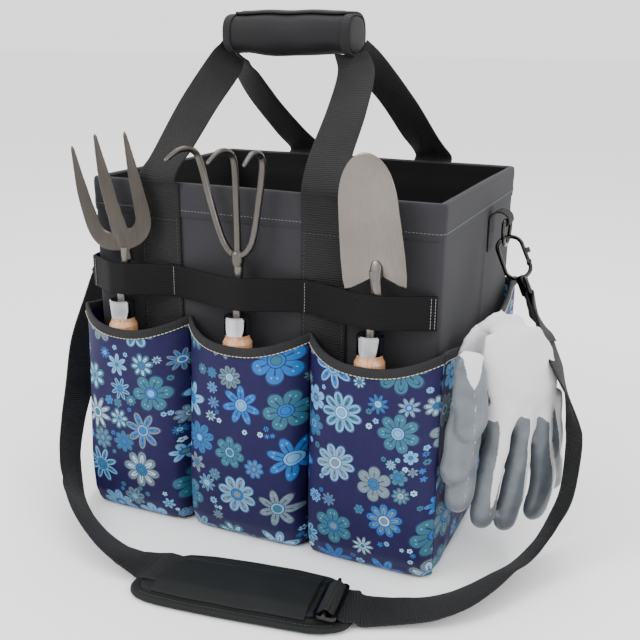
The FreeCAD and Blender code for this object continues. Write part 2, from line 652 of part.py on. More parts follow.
right_points = [(206, -24, 199.5), (217, -36, 186), (230, -40, 157), (242, -38, 128), (252, -47, 98), (250, -64, 60),
                (242, -76, 27), (225, -96, 5), (200, -131, 1.5), (177, -163, 1.5), (150, -183, 1.5), (124, -196, 3)]
right_across = [(0, 0.72, -0.7), (0.1, 0.9, -0.4), (0, 1, 0), (-0.3, 0.95, 0), (-0.55, 0.83, 0), (-0.75, 0.65, -0.1),
                (-0.8, 0.6, -0.1), (-0.84, 0.54, 0), (-0.83, 0.56, 0), (-0.7, 0.71, 0), (-0.45, 0.87, 0),
                (-0.22, 0.97, 0)]
left_points = [(-45, -212, 3), (-66, -203, 1.5), (-98, -191, 1.5), (-133, -173, 1.5), (-165, -150, 2.5),
               (-184, -140, 14), (-192, -138, 42), (-193, -132, 75), (-191, -122, 108), (-188, -103, 138),
               (-190, -76, 163), (-197, -50, 183), (-206, -26, 198)]
left_across = [(0.2, 0.98, 0), (0.3, 0.95, 0), (0.37, 0.93, 0), (0.5, 0.86, 0), (0.62, 0.78, 0), (0.6, 0.8, 0),
               (0.4, 0.9, 0), (0.15, 0.98, 0), (0, 1, -0.1), (0, 0.9, -0.3), (0, 0.85, -0.5), (0, 0.8, -0.6),
               (0, 0.72, -0.7)]
solid("strap_right_run", ribbon(run(right_points, right_across), size["webbing"], size["strap_thick"]))
solid("strap_left_run", ribbon(run(left_points, left_across), size["webbing"], size["strap_thick"]))

pad_turn = Rotation(Vector(0, 0, 1), size["pad_turn"])


def pad_outline(length, width, waist):
    """Plan of the pad: straight long edges, ends rounded off."""
    a, b, c = length / 2, width / 2, waist
    top_left, top_right = Vector(-a + c, b, 0), Vector(a - c, b, 0)
    low_right, low_left = Vector(a - c, -b, 0), Vector(-a + c, -b, 0)
    return Part.Face(Part.Wire([
        Part.makeLine(top_left, top_right), Part.Arc(top_right, Vector(a, 0, 0), low_right).toShape(),
        Part.makeLine(low_right, low_left), Part.Arc(low_left, Vector(-a, 0, 0), top_left).toShape()]))


base_height, through = 2.2, 2.2
length, width = size["pad_length"], size["pad_width"]
pad_place = Placement(Vector(size["pad_x"], size["pad_y"], 0), pad_turn)
solid("shoulder_pad_base", pad_outline(length, width, 18).extrude(Vector(0, 0, base_height)), pad_place)
channel = Part.makeBox(length + 10, size["webbing"] + 1, through,
                       Vector(-length / 2 - 5, -size["webbing"] / 2 - 0.5, base_height))
cover = pad_outline(length - 3, width - 3, 17).extrude(Vector(0, 0, size["pad_height"] - base_height - 0.1))
cover.translate(Vector(0, 0, base_height + 0.05))
solid("shoulder_pad_cover", cover.cut(channel), pad_place)
strap_through = Part.makeBox(length - 8, size["webbing"], size["strap_thick"],
                             Vector(-length / 2 + 4, -size["webbing"] / 2, base_height + 0.2))
solid("strap_centre_run", strap_through, pad_place)


# ---- slide adjuster on the pad's right end --------------------------------------

adjuster_place = Placement(pad_place.multVec(Vector(68, 0, size["pad_height"] + 0.3)), pad_turn)
adjuster = doc.addObject("PartDesign::Body", "strap_adjuster")
adjuster_sketch = sketch_on(adjuster, "adjuster_sketch")
rectangle(adjuster_sketch, "webbing - 20", "webbing + 7")
adjuster_pad = adjuster.newObject("PartDesign::Pad", "adjuster_pad")
adjuster_pad.Profile = adjuster_sketch
adjuster_pad.Length = 3
fillet(adjuster, "adjuster_round", lambda e: abs(e.tangentAt(e.FirstParameter).z) > 0.99, 4)
cut_pocket(adjuster, "adjuster_slots", lambda s: rectangle(s, "webbing - 26", "webbing + 1"), "3")
adjuster.Placement = adjuster_place
keep(adjuster, "strap_adjuster")
bar = Part.makeCylinder(1.5, size["webbing"] + 10, Vector(0, -size["webbing"] / 2 - 5, 4.6), Vector(0, 1, 0))
solid("adjuster_bar", bar, adjuster_place)


# ---- gloves hung over the mouth of the right end pocket -------------------------

glove_across = Vector(0.59, 0.807, 0).normalize()
glove_out = Vector(0.807, -0.59, 0).normalize()


def glove(shift_out, shift_across, drop, lengths):
    """A hand hanging fingers down: palm, four fingers and a thumb, as one soft solid."""
    thick, palm = 7.4, 72.0
    corner = Vector(169, -116, 0) + glove_out * shift_out + glove_across * shift_across
    place = Placement(FreeCAD.Matrix(
        glove_across.x, -glove_out.x, 0, corner.x, glove_across.y, -glove_out.y, 0, corner.y,
        0, 0, 1, 0, 0, 0, 0, 1))
    hand = Part.makeBox(palm, thick, 82, Vector(0, -thick / 2, 106 - drop))
    for i, length in enumerate(lengths):
        start = Vector(8 + i * 18.5, 0, 112 - drop)
        tilt = math.radians(-6 + 7 * i)
        along = Vector(math.sin(tilt), 0, -math.cos(tilt))
        finger = Part.makeCylinder(thick / 2, length, start, along)
        finger = finger.fuse(Part.makeSphere(thick / 2, start + along * length))
        wide = finger.copy()
        wide.translate(Vector(9, 0, 0))
        web = Part.makeBox(9, thick, length, Vector(0, -thick / 2, -length))
        web.rotate(Vector(0, 0, 0), Vector(0, 1, 0), -math.degrees(tilt))
        web.translate(start)
        hand = hand.fuse([finger, wide, web])
    return hand.removeSplitter().transformed(place.Matrix)


cuff = Part.makeBox(5, 55, 56, Vector(156, -88, 136))
cuff = cuff.fuse(Part.makeBox(22, 22, 6, Vector(156, -88, 186)))
solid("glove_outer", glove(8.2, 0, 8, [62, 74, 70, 60]))
solid("glove_inner", glove(0.4, 2, 0, [56, 66, 64, 54]).fuse(cuff).removeSplitter())


# ---- check every piece, then write it out ----------------------------------------

doc.recompute()
problems = [item.Label for item in doc.Objects if "Invalid" in item.State or "Error" in item.State]
for piece in parts:
    if piece.Shape.isNull() or not piece.Shape.isValid() or piece.Shape.Volume <= 0:
        problems.append(piece.Label + " shape")
if problems:
    raise RuntimeError("failed: " + ", ".join(problems))
os.makedirs("parts", exist_ok=True)
for piece in parts:
    piece.Shape.exportStep(f"parts/{piece.Label}.step")
print(len(parts), "pieces written")
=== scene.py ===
import math
import bpy
import numpy as np
from mathutils import Matrix, Vector


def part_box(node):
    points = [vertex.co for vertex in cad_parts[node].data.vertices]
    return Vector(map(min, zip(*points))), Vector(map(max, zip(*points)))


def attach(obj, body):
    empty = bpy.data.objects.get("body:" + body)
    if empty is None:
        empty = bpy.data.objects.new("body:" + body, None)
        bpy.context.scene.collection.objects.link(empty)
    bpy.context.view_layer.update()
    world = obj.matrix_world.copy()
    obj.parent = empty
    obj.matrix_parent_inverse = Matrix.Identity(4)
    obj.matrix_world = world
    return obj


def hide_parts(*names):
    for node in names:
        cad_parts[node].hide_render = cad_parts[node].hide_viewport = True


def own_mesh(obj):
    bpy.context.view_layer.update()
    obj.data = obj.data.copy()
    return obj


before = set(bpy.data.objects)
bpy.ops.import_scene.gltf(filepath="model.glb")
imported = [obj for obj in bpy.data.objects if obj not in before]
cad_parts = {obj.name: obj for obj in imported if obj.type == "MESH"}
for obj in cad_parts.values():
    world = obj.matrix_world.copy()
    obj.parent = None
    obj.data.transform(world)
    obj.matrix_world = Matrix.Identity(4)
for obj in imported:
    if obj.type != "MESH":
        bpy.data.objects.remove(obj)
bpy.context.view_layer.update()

scene = bpy.context.scene
MM = 0.001


# ---- view, floor and light --------------------------------------------------------
# The bag stands on a pale studio floor, seen from its front right, a little above
# the rim. Soft lights: the key from the left front, one from the right, one from above.

view_from = Vector((320.2, -731.0, 405.3)) * MM
view_to = Vector((5.4, 0.0, 158.2)) * MM
view_roll = math.radians(0.65)
forward = (view_to - view_from).normalized()
level = forward.cross(Vector((0, 0, 1))).normalized()
upright = level.cross(forward)
across_view = level * math.cos(view_roll) + upright * math.sin(view_roll)
up_view = upright * math.cos(view_roll) - level * math.sin(view_roll)
lens = bpy.data.cameras.new("camera")
lens.lens = 50.1
lens.clip_start, lens.clip_end = 0.02, 60
camera = bpy.data.objects.new("camera", lens)
camera.matrix_world = Matrix((across_view, up_view, -forward)).transposed().to_4x4()
camera.location = view_from
scene.collection.objects.link(camera)
scene.camera = camera

sky = bpy.data.worlds.new("studio")
sky.use_nodes = True
sky.node_tree.nodes["Background"].inputs["Color"].default_value = (1, 1, 1, 1)
sky.node_tree.nodes["Background"].inputs["Strength"].default_value = 1.75
scene.world = sky


def soft_light(name, place, size, power):
    """A square softbox of one size, aimed at the middle of the bag."""
    lamp = bpy.data.lights.new(name, "AREA")
    lamp.size, lamp.energy = size, power
    lamp_object = bpy.data.objects.new(name, lamp)
    lamp_object.location = place
    aim = Vector((0, 0, 0.18)) - Vector(place)
    lamp_object.rotation_euler = aim.to_track_quat("-Z", "Y").to_euler()
    scene.collection.objects.link(lamp_object)


soft_light("key_light", (-0.75, -1.25, 1.35), 0.7, 20)
soft_light("side_light", (1.5, -0.55, 0.9), 0.8, 10)
soft_light("top_light", (0.1, 0.5, 1.7), 0.8, 12)


def new_mesh(name, points, faces, smooth=True):
    """An object at the origin whose mesh has these points and faces."""
    mesh = bpy.data.meshes.new(name)
    mesh.from_pydata(np.asarray(points, float).reshape(-1, 3).tolist(), [], faces)
    mesh.polygons.foreach_set("use_smooth", np.full(len(mesh.polygons), smooth))
    piece = bpy.data.objects.new(name, mesh)
    scene.collection.objects.link(piece)
    return piece


floor = new_mesh("floor", [(-30, -30, -0.0006), (30, -30, -0.0006), (30, 30, -0.0006), (-30, 30, -0.0006)],
                 [(0, 1, 2, 3)])
floor_paint = bpy.data.materials.new("floor_paint")
floor_paint.use_nodes = True
floor_paint.node_tree.nodes["Principled BSDF"].inputs["Base Color"].default_value = (0.93, 0.93, 0.93, 1)
floor_paint.node_tree.nodes["Principled BSDF"].inputs["Roughness"].default_value = 0.7
floor.data.materials.append(floor_paint)


# ---- bag walls --------------------------------------------------------------------
# Dark grey polyester with a coated back, cut as four walls and a base and sewn with
# turned seams, so that its corners are soft. Boards inside keep it flat.


class Finish:
    """A material under construction: each call adds one node and gives back its output."""

    def __init__(self, name, colour, roughness, **sockets):
        self.material = bpy.data.materials.new(name)
        self.material.use_nodes = True
        self.tree = self.material.node_tree
        self.shader = self.tree.nodes["Principled BSDF"]
        self.set("Base Color", (*tint(colour), 1))
        self.set("Roughness", roughness)
        for socket, value in sockets.items():
            self.set(socket.replace("_", " "), value)
        self.uv = self.add("TexCoord").outputs["UV"]
        self.place = self.add("TexCoord").outputs["Object"]

    def set(self, socket, value):
        self.shader.inputs[socket].default_value = value

    def add(self, kind, *inputs, **settings):
        node = self.tree.nodes.new("ShaderNode" + kind)
        for key, value in settings.items():
            setattr(node, key, value)
        for socket, value in zip(node.inputs, inputs):
            self.plug(socket, value)
        return node

    def plug(self, socket, value):
        if isinstance(value, bpy.types.NodeSocket):
            self.tree.links.new(value, socket)
        elif value is not None:
            socket.default_value = value

    def math(self, operation, *values):
        return self.add("Math", *values, operation=operation).outputs[0]

    def times(self, first, second):
        return self.math("MULTIPLY", first, second)

    def plus(self, first, second):
        return self.math("ADD", first, second)

    def above(self, value, limit):
        return self.math("GREATER_THAN", value, limit)

    def below(self, value, limit):
        return self.math("LESS_THAN", value, limit)

    def vector(self, operation, *values):
        node = self.add("VectorMath", *values, operation=operation)
        return node.outputs["Value" if operation in ("LENGTH", "DISTANCE", "DOT_PRODUCT") else "Vector"]

    def scaled(self, source, x, y=None, z=1.0):
        return self.vector("MULTIPLY", source, (x, x if y is None else y, z))

    def split(self, source):
        return self.add("SeparateXYZ", source).outputs

    def noise(self, source, scale, detail=2.0):
        node = self.add("TexNoise", source)
        node.inputs["Scale"].default_value, node.inputs["Detail"].default_value = scale, detail
        return node.outputs[0]

    def span(self, source, low, high, to_low=0.0, to_high=1.0):
        return self.add("MapRange", source, low, high, to_low, to_high).outputs[0]

    def mix(self, share, first, second):
        node = self.add("Mix", data_type="RGBA")
        self.plug(node.inputs["Factor"], share)
        for socket, value in ((node.inputs[6], first), (node.inputs[7], second)):
            self.plug(socket, (*tint(value), 1) if isinstance(value, str) else value)
        return node.outputs[2]

    def colour(self, value):
        self.plug(self.shader.inputs["Base Color"], value)

    def relief(self, height, depth):
        """Bump of a height field of 0 to 1, its depth in metres."""
        node = self.add("Bump")
        node.inputs["Strength"].default_value = 1.0
        node.inputs["Distance"].default_value = depth
        self.plug(node.inputs["Height"], height)
        self.tree.links.new(node.outputs[0], self.shader.inputs["Normal"])


def tint(code):
    """Linear red, green and blue of a written sRGB colour."""
    value = np.array([int(code[i:i + 2], 16) for i in (1, 3, 5)]) / 255
    return np.where(value > 0.04045, ((value + 0.055) / 1.055) ** 2.4, value / 12.92).tolist()


def weave(finish, pitch, source=None):
    """Height of a plain weave: threads over and under each other at a pitch in metres."""
    x, y, _ = finish.split(source or finish.uv)
    waves = [finish.math("SINE", finish.times(axis, math.pi / pitch)) for axis in (x, y)]
    return finish.span(finish.times(*waves), -1, 1)


def cloth_finish(name, colour, pitch, depth, shade="#39393c", roughness=0.82, sheen=0.04):
    """Woven polyester: weave in the relief, slow shading and a fine speckle in the colour."""
    finish = Finish(name, colour, roughness, Sheen_Weight=sheen, Sheen_Roughness=0.5)
    finish.set("Specular IOR Level", 0.15)
    woven = weave(finish, pitch)
    patch = finish.span(finish.noise(finish.place, 14, 4), 0.35, 0.7)
    speckle = finish.span(finish.noise(finish.uv, 2600, 1), 0.3, 0.75)
    share = finish.math("MULTIPLY_ADD", speckle, 0.35, finish.times(patch, 0.4))
    finish.colour(finish.mix(share, colour, shade))
    finish.relief(finish.math("MULTIPLY_ADD", speckle, 0.3, woven), depth)
    return finish.material


def grid_faces(rows, columns, closed=False):
    """Quads between neighbours of a grid of points; closed joins the last column to the first."""
    index = np.arange(rows * columns).reshape(rows, columns)
    after = np.roll(index, -1, axis=1) if closed else index[:, 1:]
    here = index if closed else index[:, :-1]
    return np.stack([here[:-1], after[:-1], after[1:], here[1:]], axis=-1).reshape(-1, 4)


def surface(name, points, uv, closed=False, ends=False, inward=False):
    """Mesh of a grid of points (rows, columns, xyz). uv has the grid's shape, with one more
    column where it is closed; ends closes the first and last rows with a face."""
    rows, columns = points.shape[:2]
    faces = grid_faces(rows, columns, closed)
    wide = uv.shape[1]
    corner = np.arange(rows * wide).reshape(rows, wide)
    uv_index = np.stack([corner[:-1, :-1], corner[:-1, 1:], corner[1:, 1:], corner[1:, :-1]],
                        axis=-1).reshape(-1, 4)
    if inward:
        faces, uv_index = faces[:, ::-1], uv_index[:, ::-1]
    face_list, loop_uv = faces.tolist(), uv.reshape(-1, 2)[uv_index.reshape(-1)]
    if ends:
        first, last = np.arange(columns), np.arange(columns) + (rows - 1) * columns
        caps = [(first[::-1], 0), (last, rows - 1)]
        for cap, row in caps:
            order = cap[::-1] if inward else cap
            face_list.append(order.tolist())
            loop_uv = np.vstack([loop_uv, np.repeat(uv[row, :1], columns, axis=0)])
    piece = new_mesh(name, points, face_list)
    piece.data.uv_layers.new(name="UVMap").data.foreach_set("uv", loop_uv.astype(np.float32).ravel())
    return piece


def settle(piece, body, material, slot, *nodes):
    """Give a piece its material and its body, and hide the plain solids it stands for. The slot argument is
    not used.
    """
    piece.data.materials.append(material)
    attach(piece, body)
    if nodes:
        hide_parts(*nodes)
    return piece


def thicken(piece, thickness, offset=-1.0):
    """A wall given its thickness, inwards unless offset says otherwise."""
    solid = piece.modifiers.new("thickness", "SOLIDIFY")
    solid.thickness, solid.offset = thickness, offset
    return piece


def corners_loop(half_x, half_y, corner, pace):
    """Points round a rectangle with rounded corners, from the front left end, anticlockwise:
    four straight sides joined by quarter arcs. Also the outward directions and distance run."""
    points, outward = [], []
    for turn in range(4):
        angle = turn * math.pi / 2
        length = 2 * ((half_x, half_y)[turn % 2] - corner)
        reach = (half_y, half_x)[turn % 2]
        along = np.array([math.cos(angle), math.sin(angle)])
        out = np.array([math.sin(angle), -math.cos(angle)])
        steps = np.linspace(-length / 2, length / 2, max(2, round(length / pace)), endpoint=False)
        points.append(np.outer(steps, along) + out * reach)
        outward.append(np.tile(out, (len(steps), 1)))
        arc = np.linspace(0, math.pi / 2, 5, endpoint=False)
        swing = np.outer(np.cos(arc), out) + np.outer(np.sin(arc), along)
        points.append(swing * corner + out * (reach - corner) + along * length / 2)
        outward.append(swing)
    points, outward = np.vstack(points), np.vstack(outward)
    run = np.append(0, np.cumsum(np.linalg.norm(np.roll(points, -1, axis=0) - points, axis=1)))
    return points, outward, run


bag_high = np.array(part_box("base_panel")[1])
half_wide, half_deep = bag_high[0], bag_high[1]
rim_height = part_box("rim_hem")[1][2]
loop, outward, run = corners_loop(half_wide, half_deep, 5 * MM, 4 * MM)


def wall_waves(loop, heights, strength):
    """How far the cloth stands off its board: slow waves, least at the corners, the base and the rim."""
    x, y, z = loop[None, :, 0], loop[None, :, 1], heights[:, None]
    ends = np.clip((np.abs(x) - half_wide + 14 * MM) / (10 * MM), 0, 1)
    rise = np.sin(np.pi * np.clip(z / rim_height, 0, 1)) ** 0.5
    waves = np.sin(31 * y + 9 * z) * np.cos(23 * z + 17 * y) + 0.6 * np.sin(67 * y - 21 * z + 1.3)
    ridge = 1.6 * np.exp(-((y - 12 * MM) / (5 * MM)) ** 2) * np.exp(-((z - 215 * MM) / (60 * MM)) ** 2)
    inner = np.clip(np.cos(np.pi * y / (2 * half_deep)), 0, 1) ** 0.6 * np.ones_like(z)
    calm = 0.25 * np.sin(29 * x + 13 * z) * np.cos(37 * z - 7 * x)
    return strength * rise * (ends * inner * (1.0 + waves + ridge) + (1 - ends) * (0.3 + calm))


bag_cloth = cloth_finish("bag_cloth", "#2f2f32", 0.62 * MM, 0.10 * MM, shade="#262629")
heights = np.linspace(3 * MM, rim_height - 1.2 * MM, 66)
stand_off = wall_waves(loop, heights, 0.9 * MM)
walls = loop[None] + outward[None] * stand_off[..., None]
walls = np.concatenate([walls, np.broadcast_to(heights[:, None, None], (*stand_off.shape, 1))], axis=2)
tuck = np.concatenate([(loop - outward * 3 * MM), np.full((len(loop), 1), 0.2 * MM)], axis=1)
walls = np.concatenate([tuck[None], walls])
wall_uv = np.stack(np.meshgrid(run, np.append(-3 * MM, heights)), axis=-1)
bag_walls = surface("bag_walls", walls, wall_uv, closed=True)
base_face = new_mesh("base_cloth", tuck, [list(range(len(tuck)))[::-1]])
base_face.data.uv_layers.new(name="UVMap").data.foreach_set("uv", tuck[::-1, :2].astype(np.float32).ravel())
settle(thicken(bag_walls, 1.2 * MM), "bag", bag_cloth, "body_cloth",
       "front_panel", "back_panel", "left_panel", "right_panel")
settle(thicken(base_face, 0.9 * MM), "bag", bag_cloth, "body_cloth", "base_panel")


# ---- rim --------------------------------------------------------------------------
# The wall cloth is turned over the boards at the top, with a second layer as a facing,
# and sewn through with one row of thread 22 mm below the edge.


def walked(path):
    """Distance walked along a path up to each of its points."""
    return np.append(0, np.cumsum(np.linalg.norm(np.diff(path, axis=0), axis=1)))


def unit(directions):
    """Directions brought to length one, row by row."""
    return directions / np.linalg.norm(directions, axis=1, keepdims=True)


def carried_rim(name, profile, waver):
    """A profile of (outward, up) points carried round the bag's loop, wavering slightly along it."""
    profile = np.array(profile) * MM
    slow = waver * (np.sin(19 * run[:-1]) + 0.6 * np.sin(43 * run[:-1] + 2))
    flat = loop[None] + outward[None] * (profile[:, :1, None] + slow[None, :, None] * 0.5)
    up = rim_height + profile[:, 1, None] + slow[None] * np.clip(1 + profile[:, 1, None] / 0.02, 0, 1)
    points = np.concatenate([flat, up[..., None]], axis=2)
    reach = walked(profile)
    return surface(name, points, np.stack(np.meshgrid(run, reach), axis=-1), closed=True)


rim = carried_rim("rim_turning",
                  [(0.2, -28), (0.9, -27.4), (1.3, -22), (1.1, -16), (1.4, -9), (1.3, -4), (0.9, -1.5),
                                  (0.2, -0.4), (-1.2, 0), (-3.4, 0), (-4.6, -0.5), (-5.2, -1.6)], 0.25 * MM)
settle(rim, "bag", bag_cloth, "body_cloth", "rim_hem")


def thread_rows(rows, pitch, length, thick):
    """Stitches: short six-sided beads of thread laid end to end along rows of (points, outward)."""
    lies, aims, outs = [], [], []
    for path, out in rows:
        path, out = np.asarray(path, float), np.asarray(out, float)
        distance = walked(path)
        places = np.arange(pitch / 2, distance[-1], pitch)
        middle = np.stack([np.interp(places, distance, path[:, k]) for k in range(3)], axis=1)
        ahead = np.stack([np.interp(places + pitch / 3, distance, path[:, k]) for k in range(3)], axis=1)
        behind = np.stack([np.interp(places - pitch / 3, distance, path[:, k]) for k in range(3)], axis=1)
        out = np.broadcast_to(out, path.shape)
        facing = np.stack([np.interp(places, distance, out[:, k]) for k in range(3)], axis=1)
        lies.append(middle)
        aims.append(ahead - behind)
        outs.append(facing)
    middle, aim, out = np.vstack(lies), np.vstack(aims), np.vstack(outs)
    aim = unit(aim)
    side = np.cross(aim, out)
    side = unit(side)
    out = np.cross(side, aim)
    stations = np.array([-0.5, -0.38, 0, 0.38, 0.5]) * length
    girth = np.array([0.25, 0.8, 1, 0.8, 0.25]) * thick / 2
    dive = np.array([-0.6, 0.0, 0.25, 0.0, -0.6]) * thick
    turn = np.linspace(0, 2 * np.pi, 6, endpoint=False)
    bead = (middle[:, None, None] + aim[:, None, None] * stations[None, :, None, None]
            + side[:, None, None] * (np.cos(turn)[None, None] * girth[None, :, None])[..., None]
            + out[:, None, None] * (np.sin(turn)[None, None] * girth[None, :, None]
                                    + dive[None, :, None])[..., None])
    quads = grid_faces(5, 6, closed=True)
    caps = np.array([[5, 4, 3, 2], [5, 2, 1, 0], [24, 25, 26, 27], [24, 27, 28, 29]])
    one = np.vstack([quads, caps])
    faces = (one[None] + (np.arange(len(middle)) * 30)[:, None, None]).reshape(-1, 4)
    return bead.reshape(-1, 3), faces.tolist()


def thread_finish(name, colour):
    """Twisted thread: height = sine along the diagonal, colour dulled in patches."""
    finish = Finish(name, colour, 0.55)
    twist = finish.math("SINE", finish.vector("DOT_PRODUCT", finish.place, (5200, 5200, 5200)))
    finish.colour(finish.mix(finish.span(finish.noise(finish.place, 900), 0.3, 0.7, 0, 0.35), colour,
                             "#55524c"))
    finish.relief(finish.span(twist, -1, 1), 0.03 * MM)
    return finish.material


def sewing(name, rows, material, body, slot, pitch=3.2 * MM, length=2.6 * MM, thick=0.7 * MM):
    """One piece holding every stitch of these rows."""
    points, faces = thread_rows(rows, pitch, length, thick)
    return settle(new_mesh(name, points, faces), body, material, slot)


def ring_row(height, out_by):
    """A row of points round the bag at one height, with outward directions."""
    flat = np.vstack([loop + outward * out_by, (loop + outward * out_by)[:1]])
    facing = np.vstack([outward, outward[:1]])
    return (np.column_stack([flat, np.full(len(flat), height)]),
            np.column_stack([facing, np.zeros(len(flat))]))


grey_thread = thread_finish("grey_thread", "#77777b")
sewing("rim_stitches", [ring_row(rim_height - 22 * MM, 1.45 * MM)], grey_thread, "bag", "body_cloth",
       pitch=3.0 * MM, length=2.2 * MM, thick=0.45 * MM)


# ---- lining -----------------------------------------------------------------------
# Thin black cloth inside the boards, sewn in under the rim's facing, a little loose on
# the walls and laid over the base board.

lining_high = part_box("lining")[1]
lining_loop, lining_out, lining_run = corners_loop(
    lining_high[0] - 0.9 * MM, lining_high[1] - 0.9 * MM, 4 * MM, 4 * MM)
lining_heights = np.linspace(5 * MM, rim_height - 1.4 * MM, 60)
lining_grid = lining_heights[:, None]
wander = (np.sin(41 * lining_loop[None, :, 0] + 16 * lining_grid)
          * np.cos(33 * lining_loop[None, :, 1] + 29 * lining_grid))
slack = (0.5 + 0.5 * wander) * np.sin(np.pi * lining_grid / rim_height) * 1.6 * MM
slack += np.where(lining_grid > rim_height - 20 * MM, 0.0, 0.6 * MM)
inside = lining_loop[None] - lining_out[None] * slack[..., None]
inside = np.concatenate([inside, np.broadcast_to(lining_heights[:, None, None], (*slack.shape, 1))], axis=2)
lining_uv = np.stack(np.meshgrid(lining_run, np.arange(len(inside)) * 5 * MM), axis=-1)
lining_cloth = cloth_finish("lining_cloth", "#0e0e0f", 0.5 * MM, 0.05 * MM, shade="#09090a", roughness=0.6)
settle(surface("lining_walls", inside, lining_uv, closed=True, inward=True), "bag", lining_cloth,
       "lining_cloth", "lining")
floor_grid = np.linspace(-1, 1, 30)
floor_x, floor_y = np.meshgrid(floor_grid * (lining_high[0] - 0.8 * MM),
                               floor_grid * (lining_high[1] - 0.8 * MM))
floor_z = 5.0 * MM + 0.7 * MM * np.cos(19 * floor_x) * np.sin(27 * floor_y + 1)
settle(surface("lining_floor", np.stack([floor_x, floor_y, floor_z], axis=-1),
               np.stack([floor_x, floor_y], axis=-1)),
       "bag", lining_cloth, "lining_cloth")


# ---- stiffening boards ------------------------------------------------------------
# Black polyethylene sheet, cut to size and slipped between cloth and lining.

board = Finish("board_plastic", "#202021", 0.5)
board.colour(board.mix(board.span(board.noise(board.place, 30, 3), 0.35, 0.7), "#1b1b1c", "#2b2b2c"))
board.relief(board.noise(board.place, 800, 2), 0.05 * MM)
for node in ("base_board", "long_boards", "end_boards"):
    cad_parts[node].data.materials.clear()
    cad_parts[node].data.materials.append(board.material)


# ---- webbing ----------------------------------------------------------------------
# Charcoal polypropylene webbing, 38 mm wide, woven with a bold cross rib. It runs up
# the front and back, is sewn down to the rim, and carries on as the two handles.


def webbing_finish(name, colour, dark, rib=1.9 * MM, column=1.7 * MM, sheen=0.03):
    """Rows of ribs across the width, each rib cut into beads that step sideways by half a bead, with painted
    shade in the grooves between them.
    """
    finish = Finish(name, colour, 0.72, Sheen_Weight=sheen, Sheen_Roughness=0.4)
    finish.set("Specular IOR Level", 0.18)
    x, y, _ = finish.split(finish.uv)
    row = finish.math("DIVIDE", y, rib)
    step = finish.times(finish.math("MODULO", finish.math("FLOOR", row), 2.0), 0.5)
    bead_x = finish.plus(finish.math("DIVIDE", x, column), step)
    across = finish.math("ABSOLUTE", finish.math("SINE", finish.times(bead_x, math.pi)))
    along = finish.math("ABSOLUTE", finish.math("SINE", finish.times(row, math.pi)))
    height = finish.times(finish.math("POWER", along, 0.6), finish.math("MULTIPLY_ADD", across, 0.4, 0.6))
    cloud = finish.span(finish.noise(finish.place, 35, 3), 0.3, 0.7, -0.15, 0.15)
    # Painted shade: the colour runs from the dark colour in the grooves to the main colour on the rib tops,
    # with a random cloud of tone over it.
    finish.colour(finish.mix(finish.plus(height, cloud), dark, colour))
    finish.relief(height, 0.5 * MM)
    return finish.material


def flat_band(name, centres, across, width, thick, fold=0.0, gather=1.0):
    """Webbing carried along a path: a flat section with rounded edges, its width along across.
    fold cups the width by that much, as webbing does where it turns; gather is the share of
    the width that is left where it is drawn together."""
    centres, across = np.asarray(centres, float), np.asarray(across, float)
    ahead = np.gradient(centres, axis=0)
    ahead = unit(ahead)
    across = across - ahead * np.sum(across * ahead, axis=1, keepdims=True)
    across = unit(across)
    face = np.cross(ahead, across)
    half, edge = width / 2, thick / 2
    flat = np.linspace(-half + edge, half - edge, 9)
    turn = np.linspace(-np.pi / 2, np.pi / 2, 5)[1:-1]
    section_x = np.concatenate([flat, half - edge + edge * np.cos(turn), flat[::-1],
                                -half + edge - edge * np.cos(turn)])
    section_y = np.concatenate([np.full(9, -edge), edge * np.sin(turn), np.full(9, edge),
                                -edge * np.sin(turn)])
    fold = np.broadcast_to(np.asarray(fold, float), (len(centres),))
    cup = fold[:, None] * (1 - (section_x[None] / half) ** 2)
    gather = np.broadcast_to(np.asarray(gather, float), (len(centres),))
    points = (centres[:, None] + across[:, None] * (gather[:, None] * section_x[None])[..., None]
              + face[:, None] * (section_y[None] + cup)[..., None])
    distance = walked(centres)
    wide = np.append(section_x, section_x[0])
    wide[9:12], wide[21:24] = half, -half
    uv = np.stack(np.meshgrid(wide, distance), axis=-1)
    return surface(name, points, uv, closed=True, ends=True)


def smooth_path(stops, count):
    """A path through the stops: a cubic through each stop, its slope taken from the stops beside it."""
    stops = np.asarray(stops, float)
    padded = np.vstack([2 * stops[0] - stops[1], stops, 2 * stops[-1] - stops[-2]])
    place = np.linspace(0, len(stops) - 1 - 1e-9, count)
    span = place.astype(int)
    t = (place - span)[:, None]
    p0, p1, p2, p3 = (padded[span + k] for k in range(4))
    return 0.5 * (2 * p1 + (p2 - p0) * t + (2 * p0 - 5 * p1 + 4 * p2 - p3) * t ** 2
                  + (3 * p1 - p0 - 3 * p2 + p3) * t ** 3)


def box_corners(node):
    """The low and the high corner of a plain solid's box."""
    return [np.array(corner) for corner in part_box(node)]


def joined(name, pieces):
    """Several meshes made one piece."""
    with bpy.context.temp_override(active_object=pieces[0], selected_editable_objects=pieces):
        bpy.ops.object.join()
    pieces[0].name = pieces[0].data.name = name
    return pieces[0]
